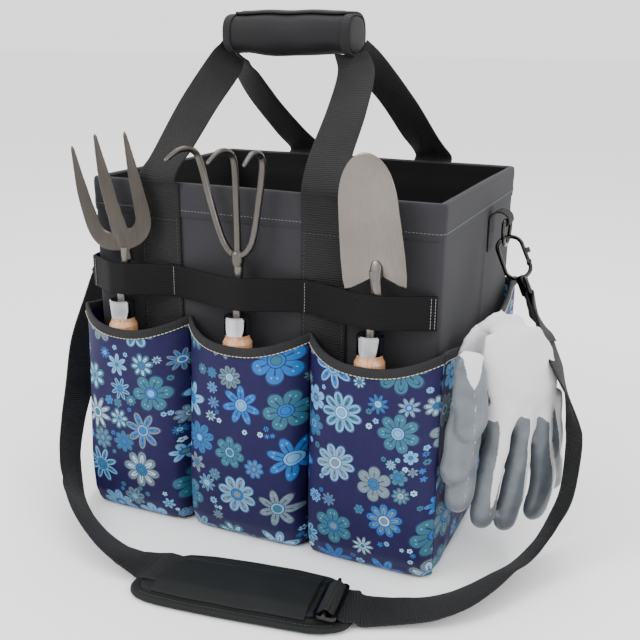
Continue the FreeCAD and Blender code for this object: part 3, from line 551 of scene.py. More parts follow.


# 0a0a0b is the painted shade in the webbing's rib grooves.
webbing_cloth = webbing_finish("webbing_cloth", "#222223", "#0a0a0b")
webbing_width = 38 * MM
webbing_thick = 1.7 * MM
handle_rows = {}
handle_stitches = []
for side, sign in (("front", -1), ("rear", 1)):
    low, high = box_corners(f"{side}_webbing")
    plane = (low[1] + high[1]) / 2
    ends = (low[0] + webbing_width / 2, high[0] - webbing_width / 2)
    strips = []
    for x in ends:
        z = np.linspace(4 * MM, rim_height - 2 * MM, 70)
        sway = 0.5 * MM * np.sin(z * 40 + x * 90) * np.clip((z - 0.2) / 0.05, 0, 1)
        lift = 1.2 * MM * np.clip((z - rim_height + 32 * MM) / (32 * MM), 0, 1) ** 2
        path = np.column_stack([np.full(70, x), plane + sign * (np.abs(sway) + lift), z])
        strips.append(flat_band("strip", path, np.tile([-sign, 0, 0], (70, 1)), webbing_width, webbing_thick))
        handle_rows[side, x] = path[-1]
        for edge in (-1, 1):
            row = path[:-6] + np.array([edge * 16.2 * MM, sign * (webbing_thick / 2 + 0.1 * MM), 0])
            handle_stitches.append((row, (0, sign, 0)))
        box_z = rim_height - 30 * MM
        bar = np.column_stack([np.linspace(x - 16.2 * MM, x + 16.2 * MM, 12),
                               np.full(12, plane + sign * (webbing_thick / 2 + 0.9 * MM)),
                               np.full(12, box_z)])
        handle_stitches.append((bar, (0, sign, 0)))
    settle(joined(f"{side}_handle_sewn", strips), "bag", webbing_cloth, "webbing", f"{side}_webbing")
black_thread = thread_finish("black_thread", "#29292b")
sewing("handle_stitches", handle_stitches, black_thread, "bag", "webbing", pitch=3.4 * MM, length=2.6 * MM,
       thick=0.5 * MM)

grip_low, grip_high = box_corners("grip_wrap")
grip_middle = (grip_low + grip_high) / 2
legs = {
    # side, hand: (bows off the straight line from rim to grip, across, out, up, in mm; width directions)
    ("front", "left"): ([(-1, -7, 30), (-3, -3, 62), (-2, 2, 92)],
                        [(1, 0, 0), (0.97, -0.05, 0.1), (0.85, 0.35, -0.1), (0.45, 0.85, -0.35)]),
    ("front", "right"): ([(2, -8, 28), (7, -4, 60), (7, 2, 88)],
                         [(1, 0, 0), (0.98, -0.1, -0.1), (0.95, 0.25, 0.1), (0.5, 0.8, 0.45)]),
    ("rear", "left"): ([(-3, 5, 28), (-8, 2, 60), (-6, 0, 88)],
                       [(1, 0, 0), (0.95, -0.1, 0.1), (0.9, -0.3, 0.1), (0.6, -0.75, 0.1)]),
    ("rear", "right"): ([(4, 5, 28), (7, 2, 60), (5, 0, 88)],
                        [(1, 0, 0), (0.95, 0.1, -0.1), (0.9, 0.3, -0.1), (0.6, 0.75, -0.1)]),
}
leg_top = grip_low[2] + 3 * MM
for (side, end), (bows, widths) in legs.items():
    sign = -1 if side == "front" else 1
    hand = -1 if end == "left" else 1
    foot = handle_rows[side, min((x for s, x in handle_rows if s == side), key=lambda x: -hand * x)]
    head = np.array([grip_middle[0] + hand * 54 * MM, grip_middle[1] + sign * 6 * MM, leg_top])
    straight = head - foot
    stops = [foot - np.array([0, 0, 1 * MM]), foot + np.array([0, sign * 0.6 * MM, 8 * MM])]
    for bow in bows:
        share = bow[2] * MM / straight[2]
        stops.append(foot + straight * min(share, 0.96) + np.array([bow[0], bow[1], 0]) * MM)
    stops.append(head)
    path = smooth_path(stops, 90)
    place = np.linspace(0, 1, 90)
    width_at = np.column_stack([np.interp(place, [0, 0.3, 0.65, 1],
                                          [w[k] for w in widths]) for k in range(3)])
    leg = flat_band(f"{side}_handle_{end}", path, -sign * width_at, webbing_width, webbing_thick,
                    fold=3.0 * MM * np.clip(place * 2 - 0.8, 0, 1),
                    gather=np.interp(place, [0, 0.3, 0.7, 1], [1, 0.94, 0.82, 0.72]))
    settle(leg, "bag", webbing_cloth, "webbing", f"{side}_leg_{end}")
    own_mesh(leg)


# ---- printed pockets --------------------------------------------------------------
# Three pockets across the front, three across the back and one on each end, cut from
# one skirt of printed polyester. Each is pleated at its seams and stands open at the
# mouth, where a grosgrain tape binds the edge, sewn with tan thread.


def flower_layer(finish, metres, cell, fill, bigger, petals, seed):
    """One size of flower. A cell pattern scatters centres, and each flower fits the free circle
    around its own. Petals: edge radius = free radius x (valley + (1 - valley) x |cos(n angle / 2)|
    ^ power).
    Returns its colour, where it covers, and how far any point lies outside its circles."""
    place = finish.vector("MULTIPLY_ADD", metres, (1 / cell, 1 / cell, 0), (seed, seed * 0.7, 0))
    near = finish.add("TexVoronoi", voronoi_dimensions="2D", feature="F1")
    free = finish.add("TexVoronoi", voronoi_dimensions="2D", feature="N_SPHERE_RADIUS")
    for node in (near, free):
        finish.plug(node.inputs["Vector"], place)
        finish.plug(node.inputs["Scale"], 1.0)
        finish.plug(node.inputs["Randomness"], 0.45)
    centre = near.outputs["Position"]
    limit = finish.math("MINIMUM", finish.times(free.outputs["Radius"], 0.98), fill)
    spin, kind, shade = finish.split(near.outputs["Color"])
    dx, dy, _ = finish.split(finish.vector("SUBTRACT", place, centre))
    angle = finish.math("MULTIPLY_ADD", spin, 6.283, finish.math("ARCTAN2", dy, dx))
    count = finish.plus(petals, finish.math("FLOOR", finish.times(kind, 3.99)))
    wave = finish.math("ABSOLUTE", finish.math("COSINE", finish.times(finish.times(count, 0.5), angle)))
    power = finish.span(finish.above(shade, 0.68), 0, 1, 0.34, 1.05)
    edge = finish.times(limit, finish.math("MULTIPLY_ADD", finish.math("POWER", wave, power), 0.66, 0.34))
    reach = finish.math("DIVIDE", near.outputs["Distance"], edge)
    radial = finish.math("DIVIDE", near.outputs["Distance"], limit)
    room = None
    for other in bigger:
        gap = finish.math("SUBTRACT", other(finish.vector("MULTIPLY", finish.vector(
            "SUBTRACT", centre, (seed, seed * 0.7, 0)), (cell, cell, 0))), finish.times(limit, cell * 0.55))
        room = gap if room is None else finish.math("MINIMUM", room, gap)

    def circles(at):
        """Signed distance in metres from a point to this layer's nearest circle."""
        spot = finish.vector("MULTIPLY_ADD", at, (1 / cell, 1 / cell, 0), (seed, seed * 0.7, 0))
        pair = [finish.add("TexVoronoi", voronoi_dimensions="2D", feature=feature)
                for feature in ("F1", "N_SPHERE_RADIUS")]
        for node in pair:
            finish.plug(node.inputs["Vector"], spot)
            finish.plug(node.inputs["Scale"], 1.0)
            finish.plug(node.inputs["Randomness"], 0.45)
        disc = finish.math("MINIMUM", finish.times(pair[1].outputs["Radius"], 0.98), fill)
        return finish.times(finish.math("SUBTRACT", pair[0].outputs["Distance"], disc), cell)

    cover = finish.below(reach, 1.0)
    if room is not None:
        cover = finish.times(cover, finish.above(room, 0.0))
    return dict(reach=reach, radial=radial, wave=wave, kind=kind, shade=shade, spin=spin, cover=cover,
                circles=circles)


def choice(finish, value, colours):
    """One of several colours by a value of 0 to 1, in equal steps."""
    ramp = finish.add("ValToRGB", value)
    ramp.color_ramp.interpolation = "CONSTANT"
    while len(ramp.color_ramp.elements) < len(colours):
        ramp.color_ramp.elements.new(0.5)
    for step, (element, colour) in enumerate(zip(ramp.color_ramp.elements, colours)):
        element.position = step / len(colours)
        element.color = (*tint(colour), 1)
    return ramp.outputs[0]


def between(finish, value, low, high):
    """1 where low < value < high, else 0."""
    return finish.times(finish.above(value, low), finish.below(value, high))


def printed_finish(name):
    """Navy ground with four sizes of outlined flowers and small dots, in blues, teals and greys."""
    finish = Finish(name, "#16123a", 0.62)
    finish.set("Specular IOR Level", 0.2)
    navy, teal, grey = "#15113a", "#2c5a6e", "#5f6f78"
    sky_blue, bright, pale = "#5d90b8", "#1a5a9c", "#8fb4cc"
    metres = finish.uv
    colour = finish.mix(finish.span(finish.noise(metres, 160), 0.4, 0.6, 0, 0.25), navy, "#1b1747")
    sizes = [
        # cell, largest radius in cells, least petals, seed
        (43 * MM, 0.50, 6.0, 3.1), (25 * MM, 0.49, 6.0, 7.7), (13 * MM, 0.47, 6.0, 12.3),
        (6.2 * MM, 0.42, 5.0, 21.9)]
    layers = []
    for cell, fill, petals, seed in sizes:
        layers.append(flower_layer(finish, metres, cell, fill, [layer["circles"] for layer in layers],
                                   petals, seed))
    for level in (3, 2, 1, 0):
        part = layers[level]
        reach, radial, wave = part["reach"], part["radial"], part["wave"]
        if level == 3:
            petal = choice(finish, part["shade"], [sky_blue, teal, pale, bright])
            heart = choice(finish, part["kind"], [bright, navy, teal])
            look = finish.mix(finish.below(radial, 0.3), petal, heart)
        else:
            outer = choice(finish, part["shade"], [teal, teal, grey, sky_blue, teal, bright, sky_blue, grey])
            inner = choice(finish, part["spin"], [teal, sky_blue, grey, bright, teal, pale])
            ring = choice(finish, part["kind"], [bright, sky_blue, bright, pale])
            heart = choice(finish, part["spin"], [sky_blue, grey, bright, teal])
            drop = finish.times(between(finish, finish.math("DIVIDE", reach, wave), 0.42, 0.80),
                               finish.above(wave, 0.72))
            drop = finish.times(drop, finish.above(part["kind"], 0.35))
            look = finish.mix(drop, outer, inner)
            rim_line = between(finish, finish.math("DIVIDE", reach, wave), 0.80, 0.86)
            rim_line = finish.times(rim_line, finish.above(wave, 0.72))
            vein = finish.times(finish.above(wave, 0.985), between(finish, radial, 0.3, 0.6))
            dots = finish.times(between(finish, radial, 0.66, 0.74), between(finish, wave, 0.86, 0.95))
            dots = finish.times(dots, finish.below(part["kind"], 0.35))
            look = finish.mix(dots, look, sky_blue)
            ink = finish.math("MAXIMUM", vein, finish.times(rim_line, finish.above(part["kind"], 0.35)))
            ink = finish.math("MAXIMUM", ink, finish.above(reach, 0.93))
            ink = finish.math("MAXIMUM", ink, finish.below(wave, 0.09))
            look = finish.mix(finish.times(ink, 0.8), look, navy)
            look = finish.mix(finish.below(radial, 0.32), look, navy)
            look = finish.mix(finish.below(radial, 0.29), look, ring)
            look = finish.mix(finish.below(radial, 0.20), look, navy)
            look = finish.mix(finish.below(radial, 0.18), look, heart)
        colour = finish.mix(part["cover"], colour, look)
    finish.colour(colour)
    woven = weave(finish, 0.55 * MM)
    finish.relief(woven, 0.07 * MM)
    return finish.material


printed_cloth = printed_finish("printed_cloth")
# 151516 is the painted shade in the tape's rib grooves.
binding_tape = webbing_finish("binding_tape", "#29292b", "#151516", rib=1.0 * MM, column=40 * MM, sheen=0.03)
tan_thread = thread_finish("tan_thread", "#b5ac98")
pocket_top = 188 * MM
scoop = 12 * MM
wall_gap = 2.6 * MM
skirt = 160 * MM
front_mouth, end_mouth = 30 * MM, 12 * MM


def pocket_swell(share):
    """Share of the mouth's depth that a pocket stands out by at a share of its height, and the
    share of that which its outer edge keeps where the skirt turns a corner."""
    return (np.interp(share, [0, 0.03, 0.10, 0.28, 0.7, 1.0], [0.42, 0.60, 0.82, 0.95, 0.94, 1.0]),
            np.interp(share, [0, 0.15, 1], [0.30, 0.34, 0.22]))


def pocket_cloth(low, high, mouth, open_ends=(False, False)):
    """Grid of one pocket on a wall along X that it stands out from along +Y.
    Depth = depth at this height x (1 - |2s - 1| ^ power), the power larger low down, where
    pleats keep the pocket boxy; an open end keeps some depth, where the skirt turns a corner.
    The end pockets' edges reach out to meet it: shift x |2s - 1| ^ 14."""
    s, t = np.meshgrid(np.linspace(0, 1, 84), np.linspace(0, 1, 70))
    centre_s = 2 * s - 1
    top = pocket_top - scoop * (1 - centre_s ** 2)
    z = 1.5 * MM + (top - 1.5 * MM) * t
    share = z / pocket_top
    fullness, hold = pocket_swell(share)
    depth = mouth * fullness
    power = np.interp(share, [0, 0.5, 0.85, 1], [9, 6, 3.2, 2.4])
    left_hold, right_hold = hold * open_ends[0], hold * open_ends[1]
    floor_depth = np.where(centre_s < 0, left_hold, right_hold)
    bow = 1 - np.abs(centre_s) ** power
    bow = floor_depth + (1 - floor_depth) * bow
    ripple = (0.9 * np.sin(9 * s + 7 * t + low * 40) * np.sin(5 * t + 3 * s)
              + 0.5 * np.sin(17 * s - 11 * t)) * MM
    pull = 1.3 * MM * np.exp(-((np.abs(centre_s) - 0.86) / 0.05) ** 2) * np.clip(1.4 - 2 * share, 0, 1)
    y = (wall_gap + 0.4 * MM + (depth - 2 * MM) * bow
         + ripple * np.sin(np.pi * s) * np.sin(np.pi * np.clip(t, 0, 1)) + pull)
    x = low + (high - low) * s
    shrink = np.interp(share, [0, 0.03, 0.1, 1], [0.985, 0.995, 1, 1])
    if mouth == end_mouth:
        corner = np.abs(centre_s) ** 14
        y += corner * (skirt * shrink - half_wide - y)
        x += corner * np.sign(centre_s) * ((front_mouth * fullness - 2 * MM) * hold + 0.4 * MM)
        shrink = 1.0
    return np.stack([(low + high) / 2 + (x - (low + high) / 2) * shrink, y, z], axis=-1)


def turned(points, angle, reach):
    """Points made on a wall along X, facing +Y, stood on the wall that faces this angle."""
    c, s = math.cos(angle), math.sin(angle)
    x, y = points[..., 0], points[..., 1] + reach
    return np.stack([c * x - s * y, s * x + c * y, points[..., 2]], axis=-1)


def tape_section(width, thick):
    """A flat closed section with rounded edges, as (across, out) points."""
    edge = thick / 2
    flat = np.linspace(-width / 2 + edge, width / 2 - edge, 6)
    turn = np.linspace(-np.pi / 2, np.pi / 2, 5)[1:-1]
    across = np.concatenate([flat, width / 2 - edge + edge * np.cos(turn), flat[::-1],
                             -width / 2 + edge - edge * np.cos(turn)])
    out = np.concatenate([np.full(6, -edge), edge * np.sin(turn), np.full(6, edge), -edge * np.sin(turn)])
    return across, out


def mouth_binding(name, cloth):
    """The tape folded over a pocket's edge: a flat section carried along the mouth, its width
    down the cloth."""
    edge, below = cloth[-1], cloth[-7]
    down = below - edge
    down = unit(down)
    along = np.gradient(edge, axis=0)
    along = unit(along)
    out = np.cross(down, along)
    out *= np.sign(np.sum(out[len(out) // 2] * (edge[len(edge) // 2] * (1, 1, 0))))
    across, thick = tape_section(8.4 * MM, 3.0 * MM)
    middle = edge + down * 3.6 * MM
    points = middle[:, None] - down[:, None] * across[None, :, None] + out[:, None] * thick[None, :, None]
    distance = walked(edge)
    uv = np.stack(np.meshgrid(np.append(across, across[0]), distance), axis=-1)
    row = middle + down * 3.1 * MM + out * 1.75 * MM
    return surface(name, points, uv, closed=True, ends=True), (row, out)


seams = (-60 * MM, 50 * MM)
end_reach = half_deep + wall_gap
pocket_walls = {
    # facing: angle, wall's reach, spans, mouth depth, plain solids of the cloth and the binding
    "front": (math.pi, half_deep, [(-skirt, -seams[1]), (-seams[1], -seams[0]), (-seams[0], skirt)],
              front_mouth,
              [("front_pocket_right",), ("front_pocket_centre",), ("front_pocket_left",)],
              "front_pocket_binding"),
    "back": (0.0, half_deep, [(-skirt, seams[0]), (seams[0], seams[1]), (seams[1], skirt)], front_mouth,
             [("back_pockets",), (), ()], "back_pocket_binding"),
    "left": (math.pi / 2, half_wide, [(-end_reach, end_reach)], end_mouth, [("left_pocket",)],
             "left_pocket_binding"),
    "right": (-math.pi / 2, half_wide, [(-end_reach, end_reach)], end_mouth, [("right_pocket",)],
              "right_pocket_binding"),
}
tan_rows = []
print_shift = 0.0
for facing, (angle, reach, spans, mouth, nodes, binding_node) in pocket_walls.items():
    bands = []
    for place, ((low, high), cloth_nodes) in enumerate(zip(spans, nodes)):
        ends = (place == 0, place == len(spans) - 1)
        cloth = turned(pocket_cloth(low, high, mouth, ends), angle, reach)
        width_run = np.linspace(low, high, cloth.shape[1]) + print_shift
        uv = np.stack([np.broadcast_to(width_run, cloth.shape[:2]), cloth[..., 2]], axis=-1)
        name = f"{facing}_pocket_{place + 1}_cloth"
        settle(thicken(surface(name, cloth, uv, inward=True), 1.1 * MM), "bag", printed_cloth,
               "printed_cloth", *cloth_nodes)
        band, row = mouth_binding(f"{facing}_band_{place + 1}", cloth)
        bands.append(band)
        tan_rows.append(row)
    settle(joined(f"{facing}_mouth_binding", bands), "bag", binding_tape, "binding_tape", binding_node)
    print_shift += 0.41
sewing("binding_stitches", tan_rows, tan_thread, "bag", "binding_tape", pitch=3.4 * MM, length=2.9 * MM,
       thick=0.75 * MM)


# ---- elastic band -----------------------------------------------------------------
# Black woven elastic across the front, turned round the left corner, stitched down
# beside each handle strip and at its ends, so that it makes one loop for each tool.


def elastic_finish(name):
    """Fine rubber-cored cords run along the band, with a faint cross weave between them and painted shade in
    the grooves between the cords.
    """
    finish = Finish(name, "#0b0b0c", 0.6)
    finish.set("Specular IOR Level", 0.1)
    x, y, _ = finish.split(finish.uv)
    cord = finish.math("ABSOLUTE", finish.math("SINE", finish.times(x, math.pi / (1.35 * MM))))
    fine = finish.math("ABSOLUTE", finish.math("SINE", finish.times(y, math.pi / (0.6 * MM))))
    height = finish.math("MULTIPLY_ADD", fine, 0.15, finish.math("POWER", cord, 0.7))
    # Painted shade: #060606 in the grooves between cords, #121213 on the cords.
    finish.colour(finish.mix(height, "#060606", "#121213"))
    finish.relief(height, 0.28 * MM)
    return finish.material


elastic_low, elastic_high = box_corners("elastic_band")
elastic_middle = (elastic_low[2] + elastic_high[2]) / 2
elastic_width = elastic_high[2] - elastic_low[2]
tools = ("fork", "cultivator", "trowel")
tool_x = {tool: (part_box(f"{tool}_ferrule")[0][0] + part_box(f"{tool}_ferrule")[1][0]) / 2 for tool in tools}
stitch_x = [-156 * MM, -73 * MM, 45.5 * MM, 150 * MM]
sewn_plane = -half_deep - 3.4 * MM
peak = sewn_plane - elastic_low[1] - 0.8 * MM
band_steps = 260
band_x = np.linspace(stitch_x[0] + 4 * MM, 152 * MM, band_steps)
stand = np.zeros(band_steps)
for (low, high), tool in zip(zip(stitch_x, stitch_x[1:]), tools):
    middle = tool_x[tool]
    rise = np.where(band_x < middle, (band_x - low) / (middle - 7 * MM - low),
                    (high - band_x) / (high - middle - 7 * MM))
    inside_span = (band_x > low) & (band_x < high)
    stand = np.where(inside_span, np.clip(rise, 0, 1), stand)
soft = np.exp(-np.linspace(-2, 2, 13) ** 2)
stand = np.convolve(np.pad(stand, 6, mode="edge"), soft / soft.sum(), mode="valid")
front_path = np.column_stack([band_x, sewn_plane - peak * stand, np.full(band_steps, elastic_middle)])
corner_path = np.array([(-half_wide - 1.8 * MM, -half_deep + 9 * MM, elastic_middle),
                        (-half_wide - 1.8 * MM, -half_deep + 2 * MM, elastic_middle),
                        (-half_wide - 0.6 * MM, -half_deep - 1.6 * MM, elastic_middle)])
elastic_path = np.vstack([corner_path, front_path])
elastic_path[:, 2] += 0.5 * MM * np.sin(elastic_path[:, 0] * 37)
elastic = elastic_finish("elastic_weave")
settle(flat_band("elastic_loops", elastic_path, np.tile([0, 0, 1], (len(elastic_path), 1)), elastic_width,
                 1.5 * MM),
       "bag", elastic, "elastic", "elastic_band")
hold_rows = []
for x in (stitch_x[1], stitch_x[2], 147.5 * MM, 150.5 * MM, -149 * MM):
    near = np.argmin(np.abs(elastic_path[3:, 0] - x)) + 3
    z = np.linspace(elastic_low[2] + 1 * MM, elastic_high[2] - 1 * MM, 12)
    row = np.column_stack([np.full(12, x), np.full(12, elastic_path[near, 1] - 0.95 * MM), z])
    hold_rows.append((row, (0, -1, 0)))
sewing("elastic_stitches", hold_rows, grey_thread, "bag", "elastic", pitch=2.4 * MM, length=2.1 * MM,
       thick=0.6 * MM)


# ---- padded grip ------------------------------------------------------------------
# Foam rolled round both handles and covered in black cloth. A flap closes over the
# top with a bound edge, and a tape binds each end.


def grip_point(x, angle, swell=0.0):
    """The roll: at each x a rounded box, |y/a|^n + |z/b|^n = 1, smaller towards the ends."""
    half_length = (grip_high[0] - grip_low[0]) / 2
    share = np.abs(x - grip_middle[0]) / half_length
    girth = 1 - 0.10 * share ** 6 - 0.02 * np.cos(9 * share)
    depth = ((grip_high[1] - grip_low[1]) / 2 - 1 * MM) * girth + swell
    height = ((grip_high[2] - grip_low[2]) / 2 - 0.5 * MM) * girth + swell
    power = 2 / 2.7
    y = depth * np.sign(np.cos(angle)) * np.abs(np.cos(angle)) ** power
    z = height * np.sign(np.sin(angle)) * np.abs(np.sin(angle)) ** power
    sag = 1.2 * MM * np.sin(7 * x / 0.1) * (np.sin(angle) < 0)
    return np.stack([x + 0 * angle, grip_middle[1] + y, grip_middle[2] + z + sag * np.abs(np.sin(angle))],
                    axis=-1)


def puffed(piece, pressure, limit):
    """Stuffing: the piece's mesh under inner air pressure for twenty frames of cloth simulation,
    no point moving further than the limit."""
    cloth = piece.modifiers.new("stuffing", "CLOTH")
    cloth.settings.quality = 5
    cloth.settings.use_pressure = True
    cloth.settings.uniform_pressure_force = pressure
    cloth.settings.effector_weights.gravity = 0
    cloth.settings.tension_stiffness = cloth.settings.compression_stiffness = 30
    cloth.settings.bending_stiffness = 2
    cloth.point_cache.frame_end = 20
    before = np.empty(len(piece.data.vertices) * 3)
    piece.data.vertices.foreach_get("co", before)
    for step in range(1, 21):
        scene.frame_set(step)
    swollen = piece.evaluated_get(bpy.context.evaluated_depsgraph_get()).to_mesh()
    after = np.empty_like(before)
    swollen.vertices.foreach_get("co", after)
    piece.modifiers.remove(cloth)
    scene.frame_set(1)
    move = (after - before).reshape(-1, 3)
    far = np.linalg.norm(move, axis=1, keepdims=True)
    move *= np.minimum(1, limit / np.maximum(far, 1e-9))
    piece.data.vertices.foreach_set("co", (before.reshape(-1, 3) + move).ravel())
    piece.data.update()
    return piece


def rounder(piece, levels=1):
    """A surface rounded by subdivision."""
    smooth = piece.modifiers.new("smooth", "SUBSURF")
    smooth.levels = smooth.render_levels = levels
    return piece


wrap_cloth = cloth_finish("wrap_cloth", "#1d1d1f", 0.5 * MM, 0.06 * MM, shade="#151516", roughness=0.6,
                          sheen=0.02)
wrap_radius = 18 * MM
ends_x = np.concatenate([[grip_low[0] + 1 * MM], np.linspace(grip_low[0], grip_high[0], 48),
                         [grip_high[0] - 1 * MM]])
around = np.linspace(0, 2 * np.pi, 72, endpoint=False)
roll = grip_point(ends_x[:, None], around[None])
roll[0] = grip_middle + (roll[0] - grip_middle) * (1, 0.8, 0.8)
roll[-1] = grip_middle + (roll[-1] - grip_middle) * (1, 0.8, 0.8)
roll_uv = np.stack(np.meshgrid(np.append(around, 2 * np.pi) * wrap_radius, ends_x), axis=-1)
roll_piece = puffed(surface("grip_roll", roll, roll_uv, closed=True, ends=True), 2.0, 1.5 * MM)
settle(rounder(roll_piece), "grip", wrap_cloth, "wrap_cloth", "grip_wrap", "grip_foam", "grip_webbing")

flap_x, flap_angle = np.meshgrid(np.linspace(grip_low[0] + 2 * MM, grip_high[0] - 2 * MM, 60),
                                 np.linspace(math.radians(98), math.radians(-62), 40))
flap = grip_point(flap_x, flap_angle, 1.5 * MM)
flap_uv = np.stack([flap_angle * wrap_radius, flap_x], axis=-1)
settle(thicken(surface("grip_flap", flap, flap_uv), 1.2 * MM), "grip", wrap_cloth, "wrap_cloth")


def bound_edge(name, path, out, width, thick):
    """Tape folded over a cloth edge: a flat section carried along the edge, lying along the surface."""
    along = np.gradient(path, axis=0)
    along = unit(along)
    side = np.cross(along, out)
    side = unit(side)
    out = np.cross(side, along)
    across, high = tape_section(width, thick)
    points = path[:, None] + side[:, None] * across[None, :, None] + out[:, None] * high[None, :, None]
    distance = walked(path)
    return surface(name, points, np.stack(np.meshgrid(np.append(across, across[0]), distance), axis=-1),
                   closed=True, ends=True)


def on_grip(x, angle, lift):
    """Points and outward directions on the roll along a route of (x, angle)."""
    low, high = grip_point(x, angle, lift), grip_point(x, angle, lift + 1 * MM)
    out = high - low
    return low, out / np.linalg.norm(out, axis=1, keepdims=True)


edge_tapes, edge_rows = [], []
corner_turn = np.linspace(0, math.pi / 2, 9)
left_x, right_x = grip_low[0] + 4 * MM, grip_high[0] - 4 * MM
front_angle, back_angle = math.radians(100), math.radians(-60)
radius_x, radius_angle = 9 * MM, math.radians(28)
route = [(right_x, a) for a in np.linspace(back_angle, front_angle - radius_angle, 16)]
route += [(right_x - radius_x * (1 - math.cos(t)),
           front_angle - radius_angle * (1 - math.sin(t))) for t in corner_turn[1:]]
route += [(x, front_angle) for x in np.linspace(right_x - radius_x, left_x + radius_x, 50)[1:]]
route += [(left_x + radius_x * (1 - math.sin(t)),
           front_angle - radius_angle * (1 - math.cos(t))) for t in corner_turn[1:]]
route += [(left_x, a) for a in np.linspace(front_angle - radius_angle, back_angle, 16)[1:]]
route = np.array(route)
edge_path, edge_out = on_grip(route[:, 0], route[:, 1], 2.2 * MM)
edge_tapes.append(bound_edge("flap_edge", edge_path, edge_out, 7 * MM, 1.8 * MM))
for shift in (-2.2 * MM, 2.2 * MM):
    along = np.gradient(edge_path, axis=0)
    side = np.cross(along / np.linalg.norm(along, axis=1, keepdims=True), edge_out)
    edge_rows.append((edge_path + side * shift + edge_out * 0.95 * MM, edge_out))
for x in (grip_low[0] + 3.5 * MM, grip_high[0] - 3.5 * MM):
    ring_path, ring_out = on_grip(np.full(64, x), np.linspace(0, 2 * np.pi, 64), 0.8 * MM)
    edge_tapes.append(bound_edge("end_edge", ring_path, ring_out, 7 * MM, 1.6 * MM))
settle(joined("grip_edge_tape", edge_tapes), "grip", binding_tape, "binding_tape")
sewing("grip_stitches", edge_rows, black_thread, "grip", "wrap_cloth", pitch=2.8 * MM, length=2.2 * MM,
       thick=0.5 * MM)


# ---- hand tools -------------------------------------------------------------------
# Three hand tools stand in the pockets: turned beech handles, bright plated ferrules
# pressed on, round steel necks, and heads of pressed or forged steel.


def repaint(material, *nodes):
    """Give carried-over solids their finish."""
    for node in nodes:
        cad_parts[node].data.materials.clear()
        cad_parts[node].data.materials.append(material)


def wood_finish(name):
    """Pale beech: rings squeezed along the handle, short dark flecks, thin clear varnish."""
    finish = Finish(name, "#c79268", 0.42, Coat_Weight=0.25, Coat_Roughness=0.25)
    grain = finish.noise(finish.scaled(finish.place, 90, 90, 9), 3, 4)
    fleck = finish.span(finish.noise(finish.scaled(finish.place, 900, 900, 90), 1.2, 2), 0.58, 0.7)
    finish.colour(finish.mix(fleck, finish.mix(finish.span(grain, 0.35, 0.65), "#cf9f76", "#b37f57"),
                             "#8e6040"))
    finish.relief(finish.plus(grain, finish.times(fleck, -0.4)), 0.08 * MM)
    return finish.material


def steel_finish(name, light, dark, roughness, grain=(500, 500, 14), metal=1.0):
    """Brushed or cast steel: streaks along one axis, cloudy tone, scuffs that change the gloss. On the bright
    plating the coarse streaks are light and dark bands round the ferrules: painted reflection.
    """
    finish = Finish(name, light, roughness, Metallic=metal)
    streak = finish.noise(finish.scaled(finish.place, *grain), 2, 3)
    cloud = finish.span(finish.noise(finish.place, 26, 4), 0.3, 0.7)
    finish.colour(finish.mix(finish.math("MULTIPLY_ADD", cloud, 0.5, finish.times(streak, 0.5)), light, dark))
    finish.plug(finish.shader.inputs["Roughness"],
                finish.span(streak, 0.3, 0.7, roughness - 0.08, roughness + 0.1))
    finish.relief(streak, 0.05 * MM)
    return finish.material


beech = wood_finish("varnished_beech")
# Painted reflection: coarse bands round the ferrules, from #d6d6da down to #3c3c40, stand in for the
# surroundings mirrored in the plating.
plated = steel_finish("bright_plating", "#d6d6da", "#3c3c40", 0.12, grain=(150, 150, 4))
neck_steel = steel_finish("neck_steel", "#78736e", "#5a5652", 0.36)
fork_steel = steel_finish("fork_steel", "#524d49", "#403c39", 0.42)
claw_steel = steel_finish("claw_steel", "#68635f", "#4b4744", 0.36)
trowel_steel = steel_finish("trowel_steel", "#857f79", "#6d6862", 0.36, grain=(900, 900, 10))
for tool in tools:
    repaint(beech, f"{tool}_handle")
    repaint(plated, f"{tool}_ferrule")
    repaint(neck_steel, f"{tool}_neck")


def leaned(piece, degrees, root):
    """Lean a head made upright at the origin about Y, then carry it to its root."""
    piece.data.transform(Matrix.Translation(root) @ Matrix.Rotation(math.radians(degrees), 4, "Y"))
    return piece


def loft(name, stops, wide, thick, out, nose=None, count=48, power=0.85):
    """A closed limb: a flattened circle |cos|^p, |sin|^p carried through the stops, its half width
    and half thickness given at each stop, its thickness along out, its end rounded over the nose
    length."""
    path = smooth_path(stops, count)
    place, spots = np.linspace(0, 1, count), np.linspace(0, 1, len(stops))
    half_w, half_t = np.interp(place, spots, wide), np.interp(place, spots, thick)
    far = walked(path)
    reach = nose or wide[-1] * 1.15
    cap = np.sqrt(np.clip(1 - (1 - np.clip((far[-1] - far) / reach, 0, 1)) ** 2, 0.004, 1))
    ahead = np.gradient(path, axis=0)
    ahead = unit(ahead)
    across = np.cross(out, ahead)
    across = unit(across)
    face = np.cross(ahead, across)
    angle = np.linspace(0, 2 * np.pi, 26, endpoint=False)
    x = np.sign(np.cos(angle)) * np.abs(np.cos(angle)) ** power
    y = np.sign(np.sin(angle)) * np.abs(np.sin(angle)) ** power
    points = (path[:, None] + (half_w * cap)[:, None, None] * x[None, :, None] * across[:, None]
              + (half_t * cap)[:, None, None] * y[None, :, None] * face[:, None])
    uv = np.stack(np.meshgrid(np.append(angle, 2 * np.pi) * 10 * MM, far), axis=-1)
    return surface(name, points, uv, closed=True, ends=True)


def remeshed(name, pieces, size, smoothing):
    """Closed limbs fused into one skin and eased."""
    whole = joined(name, pieces)
    fuse = whole.modifiers.new("fuse", "REMESH")
    fuse.mode, fuse.voxel_size = "VOXEL", size
    ease = whole.modifiers.new("ease", "SMOOTH")
    ease.factor, ease.iterations = 0.5, smoothing
    mesh = bpy.data.meshes.new_from_object(whole.evaluated_get(bpy.context.evaluated_depsgraph_get()))
    whole.modifiers.clear()
    whole.data = mesh
    mesh.name = name
    mesh.polygons.foreach_set("use_smooth", np.ones(len(mesh.polygons), bool))
    return whole


